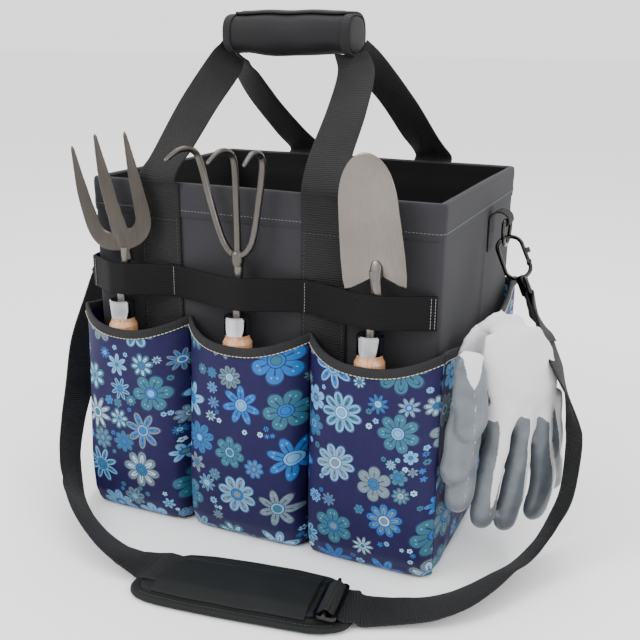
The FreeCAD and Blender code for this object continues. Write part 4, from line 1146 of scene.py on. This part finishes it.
trowel_low, trowel_high = box_corners("trowel_head")
trowel_long = trowel_high[2] - trowel_low[2] - 4 * MM
across, share = np.meshgrid(np.sin(np.linspace(-np.pi / 2, np.pi / 2, 41)), np.linspace(0, 1, 60),
                            indexing="ij")
foot = 8.0 * MM * np.clip(1 - np.abs(across) / 0.8, 0, 1) ** 1.2
head = trowel_long * (0.66 + 0.34 * np.sqrt(np.clip(1 - across ** 2, 0, 1)))
z = foot + (head - foot) * share
x = across * 24.8 * MM * np.interp(z / trowel_long, [0, 0.08, 0.25, 0.5, 0.75, 1],
                                   [0.96, 1.0, 1.0, 0.95, 0.88, 0.86])
dish = 8.0 * MM * (1 - across ** 2) * np.interp(z / trowel_long, [0, 0.5, 1], [1, 0.75, 0.1])
trowel = surface("trowel_blade", np.stack([x, dish - 5.5 * MM, z], axis=-1), np.stack([x, z], axis=-1),
                 inward=True)
trowel_root = Vector((tool_x["trowel"] + 4 * MM, (trowel_low[1] + trowel_high[1]) / 2,
                      trowel_low[2] + 3.2 * MM))
thicken(trowel, 1.5 * MM, 0.0)
socket = loft("trowel_socket", np.array([(0, -1, -7), (0, -1, 4), (0, 0.5, 14), (0, 1.5, 20)]) * MM,
              np.array([3.6, 3.8, 4.6, 2.5]) * MM, np.array([3.6, 3.4, 2.2, 1.0]) * MM, (0, -1, 0))
leaned(trowel, -7, trowel_root)
leaned(socket, -7, trowel_root)
settle(trowel, "trowel", trowel_steel, "trowel_steel", "trowel_head")
settle(socket, "trowel", neck_steel, "trowel_steel")

fork_low, fork_high = box_corners("fork_head")


def fork_stops(points):
    """Places across and up the fork's head, bowed forward at half length and cupped towards its sides."""
    x, z = np.array(points, float).T
    y = 3.5 * (x / 33) ** 2 - 3.0 * np.sin(np.pi * np.clip(z / 95, 0, 1)) - 1
    return np.column_stack([x, y, z]) * MM


tines = [loft("tine", fork_stops([(0, 1), (0, 20), (0, 60), (0, 97)]), np.array([8.4, 8.4, 6.2, 1.4]) * MM,
              np.array([1.7, 1.7, 1.5, 1.0]) * MM, (0, -1, 0)),
         loft("shank", fork_stops([(0, -9), (0, 0), (0, 12), (0, 24)]), np.array([3.6, 4.0, 4.2, 2.0]) * MM,
              np.array([3.6, 3.4, 2.8, 1.4]) * MM, (0, -1, 0))]
for side in (-1, 1):
    stops = [(-side * 3, 7), (side * 8, 8), (side * 17, 11), (side * 23.5, 18), (side * 26, 30),
             (side * 27, 56),
             (side * 27.2, 94)]
    tines.append(loft("tine", fork_stops(stops), np.array([8.2, 8.4, 8.2, 8.0, 7.4, 5.8, 1.3]) * MM,
                      np.array([1.7, 1.7, 1.7, 1.7, 1.7, 1.5, 1.0]) * MM, (0, -1, 0)))
fork = remeshed("fork_tines", tines, 0.8 * MM, 4)
leaned(fork, -15, Vector((tool_x["fork"] + 5.5 * MM, (fork_low[1] + fork_high[1]) / 2, fork_low[2] + 6 * MM)))
settle(fork, "fork", fork_steel, "fork_steel", "fork_head")

claw_x = tool_x["cultivator"]
claw_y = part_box("cultivator_head")[1][1] - 6 * MM
prongs = [loft("collar", np.array([(claw_x, claw_y, z) for z in (0.238, 0.242, 0.248, 0.252)]),
               np.array([4.2, 5.2, 5.2, 3.6]) * MM, np.array([4.2, 5.2, 5.2, 3.6]) * MM, (0, -1, 0), power=1)]
for spread in ((-8.0, -15.0, -24, -31, -33, -36, -40), (0, 0, -0.5, -1, -1.5, -2.5, -4),
               (8.0, 14.0, 19, 23, 24, 25, 26)):
    route = np.column_stack([np.array((0.0,) + spread), [0, 0, 0, 0, -1, -8, -22, -37],
                             [245, 250, 262, 290, 317, 326.5, 328, 321]]) * MM
    route[:, 0] += claw_x
    route[:, 1] += claw_y
    radius = np.array([3.0, 2.9, 2.8, 2.8, 2.7, 2.5, 2.2, 1.5]) * MM
    prongs.append(loft("prong", route, radius, radius, (0.02, -0.7, 0.72), power=1, count=70))
settle(joined("cultivator_prongs", prongs), "cultivator", claw_steel, "tool_steel", "cultivator_head")


# ---- strap hardware ---------------------------------------------------------------
# Gunmetal plated steel wire, bent and welded: a D ring sewn to each end of the bag, a
# snap hook with a sprung gate and swivel, a rectangular ring for the webbing, and a
# slide that sets the strap's length.

gunmetal = steel_finish("gunmetal_plating", "#4d4a48", "#201f1e", 0.2, grain=(120, 120, 120))
for side in ("right", "left"):
    repaint(gunmetal, *(f"{side}_{piece}" for piece in ("d_ring", "hook_body", "hook_gate", "strap_ring")))
repaint(gunmetal, "strap_adjuster", "adjuster_bar")
tape_low = np.array(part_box("ring_tapes")[0])
ring_low, ring_high = box_corners("right_d_ring")
bar_x, bar_y = (ring_low[0] + ring_high[0]) / 2, (ring_low[1] + ring_high[1]) / 2
bar_z = ring_high[2] - 1.7 * MM
wall_x = half_wide + 1.9 * MM
bar_reach = 3.1 * MM
rise = np.array([(wall_x, z) for z in np.linspace(tape_low[2], bar_z - 2 * MM, 14)])
arch_x, arch_half = (wall_x + bar_x + bar_reach) / 2, (bar_x + bar_reach - wall_x) / 2
arch = np.array([(arch_x - arch_half * math.cos(t),
                  bar_z - 1 * MM + 8 * MM * math.sin(t)) for t in np.linspace(0.1, math.pi, 22)])
curl = np.array([(bar_x + bar_reach * math.cos(t),
                  bar_z - 1 * MM - bar_reach * math.sin(t) * 1.1) for t in np.linspace(0.2, 2.6, 12)])
side_line = np.vstack([rise, arch, curl])
tabs, tab_rows = [], []
for hand in (1, -1):
    path = np.column_stack([side_line[:, 0] * hand, np.full(len(side_line), bar_y), side_line[:, 1]])
    tabs.append(flat_band("tab", path, np.tile([0, hand, 0], (len(path), 1)), 20 * MM, 1.3 * MM))
    for z in (tape_low[2] + 2.5 * MM, tape_low[2] + 16 * MM):
        y = np.linspace(bar_y - 8.5 * MM, bar_y + 8.5 * MM, 8)
        tab_rows.append((np.column_stack([np.full(8, hand * (wall_x + 0.8 * MM)), y, np.full(8, z)]),
                         (hand, 0, 0)))
settle(joined("ring_tabs", tabs), "bag", webbing_cloth, "webbing", "ring_tapes")
sewing("tab_stitches", tab_rows, black_thread, "bag", "webbing", pitch=2.6 * MM, length=2.1 * MM,
       thick=0.5 * MM)


# ---- shoulder strap ---------------------------------------------------------------
# The same 38 mm webbing. Each end folds round the ring of its snap hook and is sewn
# back on itself. The right end passes over the bar of the slide on the pad.

pad_turn = math.radians(7.5)
pad_middle = np.array([38.0, -213.0, 0.0]) * MM
pad_along = np.array([math.cos(pad_turn), math.sin(pad_turn), 0])
pad_across = np.array([-math.sin(pad_turn), math.cos(pad_turn), 0])


def on_pad(x, y, z):
    """A place in millimetres along, across and above the pad, as a point in metres."""
    return pad_middle + (x * pad_along + y * pad_across) * MM + np.array([0, 0, z * MM])


ring_bar = np.array([202.1, -18.0, 202.8]) * MM
bar_run = np.array([0, 0.72, -0.70])
bar_radius = 3.0 * MM
sewn_back = 36 * MM


def strap_end(hand, stops, widths, count):
    """A run that starts folded round a ring's bar: the sewn-back layer beside the run, a half
    turn of radius r about the bar, then the run through its stops."""
    bar = ring_bar * (hand, 1, 1)
    leave = np.array([hand * 0.52, -0.60, -0.61])
    leave -= bar_run * (leave @ bar_run)
    leave /= np.linalg.norm(leave)
    out = np.cross(bar_run, leave) * hand
    stops = np.vstack([bar + out * bar_radius, np.asarray(stops, float) * MM])
    run = smooth_path(stops, count)
    place = np.linspace(0, 1, count)
    spots = np.linspace(0, 1, len(widths))
    run_width = np.column_stack([np.interp(place, spots, [w[k] for w in widths]) for k in range(3)])
    far = walked(run)
    layer = np.linspace(sewn_back, 3 * MM, 16)
    behind = np.column_stack([np.interp(layer, far, run[:, k]) for k in range(3)])
    faces = np.cross(np.gradient(run, axis=0), run_width)
    faces = unit(faces)
    faces *= np.sign(faces[0] @ out)
    face = np.column_stack([np.interp(layer, far, faces[:, k]) for k in range(3)])
    behind -= face * (2.0 * MM + (2 * bar_radius - 2.0 * MM)
                      * np.clip(1 - layer / (14 * MM), 0, 1)[:, None] ** 1.5)
    turn = np.linspace(math.pi * 0.9, math.pi * 0.1, 9)
    loop = bar + bar_radius * (np.cos(turn)[:, None] * out - np.sin(turn)[:, None] * leave)
    behind_width = np.column_stack([np.interp(layer, far, run_width[:, k]) for k in range(3)])
    path = np.vstack([behind, loop, run])
    across = np.vstack([behind_width, np.tile(bar_run, (9, 1)), run_width])
    return path, across, (run, faces, far, run_width)


right_stops = [(212, -30, 190), (220, -35, 176), (231, -40, 158), (241, -43, 135), (248, -47, 112),
               (250, -52, 92),
               (249, -62, 61), (242, -72, 40), (235, -83, 26), (224, -98, 13), (212, -120, 7.5),
               (202, -141, 5),
               (188, -161, 3), (170, -176, 1.8), (152, -184, 1.8)]
right_widths = [(0, 0.72, -0.70), (0.16, 0.80, -0.56), (0.24, 0.88, -0.38), (0.08, 0.93, -0.30),
                (-0.20, 0.92, -0.28),
                (-0.43, 0.86, -0.27), (-0.41, 0.87, -0.26), (-0.36, 0.89, -0.29), (-0.34, 0.85, -0.41),
                (-0.34, 0.80, -0.48), (-0.50, 0.62, -0.58), (-0.64, 0.48, -0.58), (-0.70, 0.54, -0.46),
                (-0.66, 0.68, -0.30), (-0.53, 0.83, -0.17), (-0.41, 0.90, -0.10)]
left_stops = [(-201, -44, 187), (-194, -72, 165), (-188, -101, 136), (-183, -118, 104), (-185, -128, 72),
              (-184, -137, 42), (-171, -151, 20), (-149, -171, 12), (-119, -193, 11), (-88, -208, 8.5),
              (-66, -212, 6.5)]
left_widths = [(0, 0.72, -0.70), (0.15, 0.66, -0.74), (0.14, 0.72, -0.68), (0.11, 0.80, -0.59),
               (0.06, 0.93, -0.36),
               (-0.07, 0.96, -0.26), (-0.15, 0.90, -0.40), (0.02, 0.65, -0.74), (0.25, 0.55, -0.78),
               (0.34, 0.64, -0.68), (0.26, 0.82, -0.50), (0.16, 0.95, -0.28)]


def end_on_pad(path, across, stops, widths):
    """Carry a run on through places on the pad."""
    tail_from = path[-1]
    stops = np.array([on_pad(*stop) for stop in stops])
    joining = smooth_path(np.vstack([path[-8], tail_from, stops]), 90)
    keep = np.linspace(0, len(stops) + 1, 90) > 1.02
    tail = joining[keep]
    share = np.linspace(0, 1, len(tail))
    spots = np.linspace(0, 1, len(widths) + 1)
    ends = [across[-1]] + [width[0] * pad_along + width[1] * pad_across for width in widths]
    tail_across = np.column_stack([np.interp(share, spots, [w[k] for w in ends]) for k in range(3)])
    return np.vstack([path, tail]), np.vstack([across, tail_across])


strap_rows = []
for name, hand, stops, widths, tail, tail_widths in (
        ("right", 1, right_stops, right_widths,
         [(93, 6, 3.4), (86, 4, 6.6), (79, 2, 7.9), (74.5, 1, 11), (71, 0, 14.6), (68, 0, 16.2),
          (65, 0, 14.6), (61.5, 0, 11),
          (57, 0, 7.9), (50, 0, 7.4)],
         [(-0.1, 0.99), (-0.05, 1)] + [(0, 1)] * 8),
        ("left", -1, left_stops, left_widths, [(-88, 13, 4.6), (-76, 10, 7.6), (-64, 7, 8.4), (-54, 5, 8.2)],
         [(0.1, 0.99), (0.08, 1), (0.04, 1), (0.02, 1)])):
    path, across, (run, faces, far, run_width) = strap_end(hand, stops, widths, 150)
    path, across = end_on_pad(path, across, tail, tail_widths)
    ahead = np.gradient(path, axis=0)
    ahead = unit(ahead)
    level = across - ahead * np.sum(across * ahead, axis=1, keepdims=True)
    level = unit(level)
    lowest = webbing_width / 2 * np.abs(level[:, 2]) + 1.0 * MM
    lift = np.clip(lowest - path[:, 2], 0, None)
    path[:, 2] += np.convolve(np.pad(lift, 6, mode="edge"), np.full(13, 1 / 13), mode="valid") * 1.08
    cup = 0.8 * MM * np.sin(np.linspace(0, 9, len(path)))
    cup[:30] = 0
    cup[-50:] = 0
    settle(flat_band(f"strap_{name}", path, across, webbing_width, webbing_thick, fold=cup), "strap",
           webbing_cloth,
           "webbing", f"strap_{name}_run", *(["strap_centre_run"] if name == "right" else []))
    for distance in (13 * MM, 16 * MM, 32 * MM):
        at = np.argmin(np.abs(far - distance))
        wide = run_width[at] / np.linalg.norm(run_width[at])
        row = run[at] + faces[at] * 1.0 * MM + np.linspace(-16.5, 16.5, 12)[:, None] * MM * wide
        strap_rows.append((row, faces[at]))
sewing("strap_stitches", strap_rows, black_thread, "strap", "webbing", pitch=2.8 * MM, length=2.2 * MM,
       thick=0.5 * MM)


# ---- shoulder pad -----------------------------------------------------------------
# A foam pad in black cloth: a wide base with a bound rim, and on it a panel that covers
# the strap, its left end cut aslant and both long edges stitched down.

pad_stations = np.array([
    # along, low edge, high edge
    (-90, -13, -3), (-89, -17, 4), (-86, -22, 12), (-80, -26.5, 22), (-72, -29, 30), (-61, -30.5, 37),
    (-40, -31.5, 40.5),
    (-5, -32, 42), (30, -31.5, 42), (58, -31.0, 39.5), (68, -29, 34), (78, -24.5, 27), (84, -19.5, 22.5),
    (87, -14, 18),
    (88, -8, 12)])
edge_x, edge_low, edge_high = pad_stations.T
fine_x = np.concatenate([np.linspace(-90, -72, 22), np.linspace(-71, 66, 86), np.linspace(67, 88, 24)])
fine_low = np.interp(fine_x, edge_x, edge_low)
fine_high = np.interp(fine_x, edge_x, edge_high)
for turn in range(3):
    fine_low[1:-1] = (fine_low[:-2] + 2 * fine_low[1:-1] + fine_low[2:]) / 4
    fine_high[1:-1] = (fine_high[:-2] + 2 * fine_high[1:-1] + fine_high[2:]) / 4
outline = np.vstack([np.column_stack([fine_x, fine_low]), np.column_stack([fine_x, fine_high])[::-1]])


def pad_edge_distance(x, y):
    """Distance in millimetres from each point to the pad's outline."""
    spots = np.stack([x, y], axis=-1)[..., None, :]
    start, step = outline, np.roll(outline, -1, axis=0) - outline
    share = np.clip(np.sum((spots - start) * step, axis=-1) / np.maximum(np.sum(step * step, axis=-1), 1e-9),
                    0, 1)
    return np.min(np.linalg.norm(spots - (start + share[..., None] * step), axis=-1), axis=-1)


def pad_top(x, y):
    """Height of the pad's top: a rounded rim, a stitched groove 8 mm inside it, then the crown."""
    d = pad_edge_distance(x, y)
    rim = 3.0 + 2.6 * np.sqrt(np.clip(1 - (1 - np.clip(d / 3.5, 0, 1)) ** 2, 0, 1))
    fade = np.interp(x, [-90, -60, 40, 62, 88], [0, 1, 1, 0.35, 0])
    crown = rim + 2.6 * np.clip((d - 8) / 12, 0, 1) ** 0.7 * fade
    return crown - 0.9 * np.exp(-((d - 8) / 1.3) ** 2) + 0.25 * np.sin(x / 7 + y / 11) * np.clip(d / 12, 0, 1)


pad_share = 0.5 - 0.5 * np.cos(np.linspace(0, np.pi, 44))
pad_x = np.broadcast_to(fine_x[:, None], (len(fine_x), 44))
pad_y = fine_low[:, None] + (fine_high - fine_low)[:, None] * pad_share
upper = pad_top(pad_x, pad_y)
under_d = pad_edge_distance(pad_x, pad_y)
under = 0.2 + 2.6 * (1 - np.sqrt(np.clip(1 - (1 - np.clip(under_d / 3.0, 0, 1)) ** 2, 0, 1)))
loop_x = np.hstack([pad_x, pad_x[:, -2:0:-1]])
loop_y = np.hstack([pad_y, pad_y[:, -2:0:-1]])
loop_z = np.hstack([upper, under[:, -2:0:-1]])
loop_z[:, 0] = loop_z[:, 43] = 3.0
pad_points = on_pad(0, 0, 0) + (loop_x[..., None] * pad_along + loop_y[..., None] * pad_across) * MM
pad_points[..., 2] = loop_z * MM
pad_uv = np.stack([np.hstack([loop_x, loop_x[:, :1]]), np.hstack([loop_y + 2 * loop_z, loop_y[:, :1]])],
                  axis=-1) * MM
pad_cloth = cloth_finish("pad_cloth", "#191b1b", 0.6 * MM, 0.05 * MM, shade="#121414", roughness=0.62,
                         sheen=0.01)
pad_base = puffed(surface("pad_base", pad_points, pad_uv, closed=True, ends=True, inward=True), 1.5, 0.8 * MM)
settle(rounder(pad_base), "strap", pad_cloth, "pad_cloth", "shoulder_pad_base")

panel_u, panel_v = np.meshgrid(np.linspace(0, 1, 80), np.linspace(0, 1, 36), indexing="ij")
panel_inset = 8.6
panel_left = -70 + 9 * panel_v
panel_right = 53.5
panel_x = panel_left + (panel_right - panel_left) * panel_u
panel_y = (np.interp(panel_x, fine_x, fine_low) + panel_inset
           + (np.interp(panel_x, fine_x, fine_high - fine_low) - 2 * panel_inset + 4) * panel_v)
over_strap = 1.9 * np.exp(-(np.abs(panel_y - 3) / 20) ** 6)
edge_fade = np.minimum(1, np.minimum(panel_v, 1 - panel_v) / 0.08)
panel_z = (pad_top(panel_x, panel_y) + 0.7 + over_strap * edge_fade
           + 0.35 * np.sin(panel_x / 5.5) * np.sin(panel_y / 8) * edge_fade)
panel_points = on_pad(0, 0, 0) + (panel_x[..., None] * pad_along + panel_y[..., None] * pad_across) * MM
panel_points[..., 2] = panel_z * MM
panel = surface("pad_panel", panel_points, np.stack([panel_x, panel_y], axis=-1) * MM)
settle(rounder(thicken(panel, 1.0 * MM)), "strap", pad_cloth, "pad_cloth", "shoulder_pad_cover")
panel_rows = []
for line in (panel_points[:, 1], panel_points[:, -2], panel_points[1, :], panel_points[4, :],
             panel_points[-2, :]):
    panel_rows.append((line + np.array([0, 0, 0.35 * MM]), (0, 0, 1)))
d_rim = np.column_stack([fine_x[14:-14], fine_low[14:-14] + 4.2])
rim_line = on_pad(0, 0, 0) + (d_rim[:, :1] * pad_along + d_rim[:, 1:] * pad_across) * MM
rim_line[:, 2] = (pad_top(d_rim[:, 0], d_rim[:, 1]) + 0.15) * MM
panel_rows.append((rim_line, (0, 0, 1)))
sewing("pad_stitches", panel_rows, black_thread, "strap", "pad_cloth", pitch=2.6 * MM, length=2.0 * MM,
       thick=0.45 * MM)


# ---- gloves -----------------------------------------------------------------------
# A pair of white knit gloves with palm and fingertips dipped in grey rubber, hung over
# the mouth of the right pocket with their cuffs inside it. One lies over the other.

glove_corner = np.array([169.0, -116.0, 0.0])
glove_across = np.array([0.590, 0.807, 0.0])
glove_out = np.array([0.807, -0.590, 0.0])


def glove_place(a, z, n):
    """A place in millimetres across the gloves, up, and out from them."""
    return glove_corner + a * glove_across + n * glove_out + np.array([0, 0, z])


def limb(name, stops, wide, thick, nose=None):
    """A finger, thumb or palm, from places given across, up and out."""
    return loft(name, np.array([glove_place(*stop) for stop in stops]) * MM, np.array(wide) * MM,
                np.array(thick) * MM, glove_out, nose=nose)


def glove_finish(name):
    """White knit with fine ribs, painted darker in their hollows as shade, where the dip attribute is 0;
    smooth grey rubber where it is 1.
    """
    finish = Finish(name, "#e6e6e8", 0.6, Sheen_Weight=0.15)
    dip = finish.add("Attribute", attribute_name="dip").outputs["Fac"]
    ragged = finish.noise(finish.place, 420, 2)
    dip = finish.span(finish.math("MULTIPLY_ADD", finish.math("SUBTRACT", ragged, 0.5), 0.35, dip), 0.44,
                      0.56)
    x, y, z = finish.split(finish.place)
    rib = finish.math("SINE", finish.times(finish.plus(x, y), 2 * math.pi / (1.5 * MM)))
    loop = finish.math("SINE", finish.times(z, 2 * math.pi / (1.1 * MM)))
    knit = finish.span(finish.times(rib, loop), -1, 1)
    cloud = finish.noise(finish.place, 60, 3)
    rubber = finish.mix(finish.span(cloud, 0.3, 0.7), "#4a5056", "#5f656b")
    # Painted shade: the white knit is #c9c9cd in the hollows between its loops and #dededf on the raised
    # loops.
    finish.colour(finish.mix(dip, finish.mix(knit, "#c9c9cd", "#dededf"), rubber))
    finish.plug(finish.shader.inputs["Roughness"], finish.span(dip, 0, 1, 0.75, 0.36))
    finish.relief(finish.math("MULTIPLY_ADD", finish.math("SUBTRACT", 1.0, dip), knit,
                              finish.times(cloud, 0.6)), 0.16 * MM)
    return finish.material


outer_fingers = {
    # name: stops (across, up, out), half widths, half thicknesses,
    # and where the white back runs: shift, length, width
    "thumb": ([(4, 190, 9), (0, 177, 12), (2, 152, 13), (6, 118, 12)], (10, 14.5, 15.5, 14), (7, 8, 8, 7.5),
              (-0.15, 0.50, 0.85)),
    "finger_1": ([(43, 138, 3), (41, 112, 3), (31, 66, 4), (28, 34, 5)], (14, 11.5, 12, 11.5),
                 (8, 8, 8, 7.5), (0.15, 0.78, 0.85)),
    "finger_2": ([(67, 134, 3), (66, 106, 3), (62, 64, 3), (50, 25, 5)], (9, 8.6, 11.2, 11), (8, 8, 8, 7.5),
                 (0.55, 0.75, 0.62)),
    "finger_3": ([(85, 132, 2), (88, 95, 2), (93, 56, 3), (82, 26, 5)], (8, 9, 11.2, 11), (7.5, 8, 8, 7.5),
                 (0.6, 0.85, 0.5)),
    "finger_4": ([(99, 140, 1), (104, 110, 0), (108, 74, 0), (109, 47, 1)], (8, 7, 7.5, 7), (6.5, 7, 7, 7),
                 (0.1, 0.62, 0.95)),
}
palm = ([(36, 150, -22), (38, 174, -21), (42, 190, -13), (46, 197, -5), (47, 190, 2), (55, 171, 3),
         (64, 150, 3), (67, 125, 3)],
        (22, 23, 22, 18, 29, 34, 35, 37), (2.0, 2.2, 2.8, 3.6, 5.5, 7.5, 8, 7))
inner_fingers = {
    "finger_5": ([(6, 150, 4), (2, 125, 5), (-1, 102, 6), (-7, 81, 7)], (14, 15, 15, 14), (6, 6.5, 7, 7),
                 (0.55, 0.0, 0.2)),
    "finger_6": ([(14, 130, -1), (8, 105, 2), (4, 78, 5), (2, 56, 6)], (13, 14, 14, 13), (6, 6, 7, 7),
                 (0, 0.0, 0.2)),
    "finger_7": ([(44, 130, -12), (46, 100, -12), (50, 68, -11)], (12, 11, 11), (7, 7, 7), (0.5, 0.5, 0.5)),
    "finger_8": ([(70, 130, -12), (76, 96, -13), (78, 60, -12)], (11, 11, 11), (7, 7, 7), (0.7, 0.8, 0.4)),
}
inner_palm = ([(28, 148, -20), (30, 170, -19), (34, 183, -12), (42, 168, -9), (50, 122, -11)],
              (20, 21, 22, 30, 33),
              (2.5, 3, 5, 6.5, 6.5))


def glove(name, fingers, body, replaced):
    """Limbs fused into one skin and puffed. Creases: two crossed sine products along the normal,
    least at the fingertips. Dip: 1 / (1 + e^-9d), d the distance outside the white strip that runs
    along the back of the nearest finger and tapers towards its tip."""
    pieces = [limb("palm", *body, nose=7 * MM)] + [limb(part, *shape[:3]) for part, shape in fingers.items()]
    skin = puffed(remeshed(name, pieces, 2.4 * MM, 5), 2.5, 1.6 * MM)
    count = len(skin.data.vertices)
    spots = np.empty(count * 3)
    skin.data.vertices.foreach_get("co", spots)
    spots = spots.reshape(-1, 3)
    normals = np.empty(count * 3)
    skin.data.vertices.foreach_get("normal", normals)
    normals = normals.reshape(-1, 3)
    local = spots / MM - glove_corner
    a, z, n = local @ glove_across, local[:, 2], local @ glove_out
    crease = 0.9 * np.sin(a / 7 + z / 13) * np.sin(z / 9 - a / 17) + 0.6 * np.sin(z / 4.5 + 2 * np.sin(a / 9))
    away = np.clip((z - 60) / 60, 0.25, 1)
    spots = spots + normals * (crease * away * 0.7)[:, None] * MM
    skin.data.vertices.foreach_set("co", spots.ravel())
    best = np.full(count, np.inf)
    grey = np.zeros(count)
    for stops, wide, _, (shift, length, white) in fingers.values():
        line = smooth_path(np.array(stops, float), 60)
        half = np.interp(np.linspace(0, 1, 60), np.linspace(0, 1, len(stops)), wide)
        gap = np.sqrt((a[:, None] - line[None, :, 0]) ** 2 + (z[:, None] - line[None, :, 1]) ** 2
                      + 0.5 * (n[:, None] - line[None, :, 2]) ** 2) / half
        at = np.argmin(gap, axis=1)
        near = gap[np.arange(count), at]
        share = at / 59
        side = (a - line[at, 0]) / half[at]
        strip = white * np.clip(1 - share / max(length, 1e-3), 0, 1) ** 0.6
        start = np.clip(1 - share / 0.14, 0, 1) * 2.5
        here = 1 / (1 + np.exp(-(np.abs(side - shift) - strip - start) * 9))
        here = np.where(normals @ glove_out < -0.25, 1, here)
        grey = np.where(near < best, here, grey)
        best = np.minimum(best, near)
    palm_line = np.clip((z - 128) / 8, 0, 1)
    on_palm = (palm_line > 0) & (best > 1.08)
    grey = np.where(on_palm, np.where((normals @ glove_out < -0.25) & (z < 175), 1, 0), grey)
    skin.data.attributes.new("dip", "FLOAT", "POINT").data.foreach_set("value", grey.astype(np.float32))
    settle(rounder(skin), "gloves", glove_skin, "glove_knit", replaced)


glove_skin = glove_finish("glove_skin")
glove("glove_front", outer_fingers, palm, "glove_outer")
glove("glove_behind", inner_fingers, inner_palm, "glove_inner")
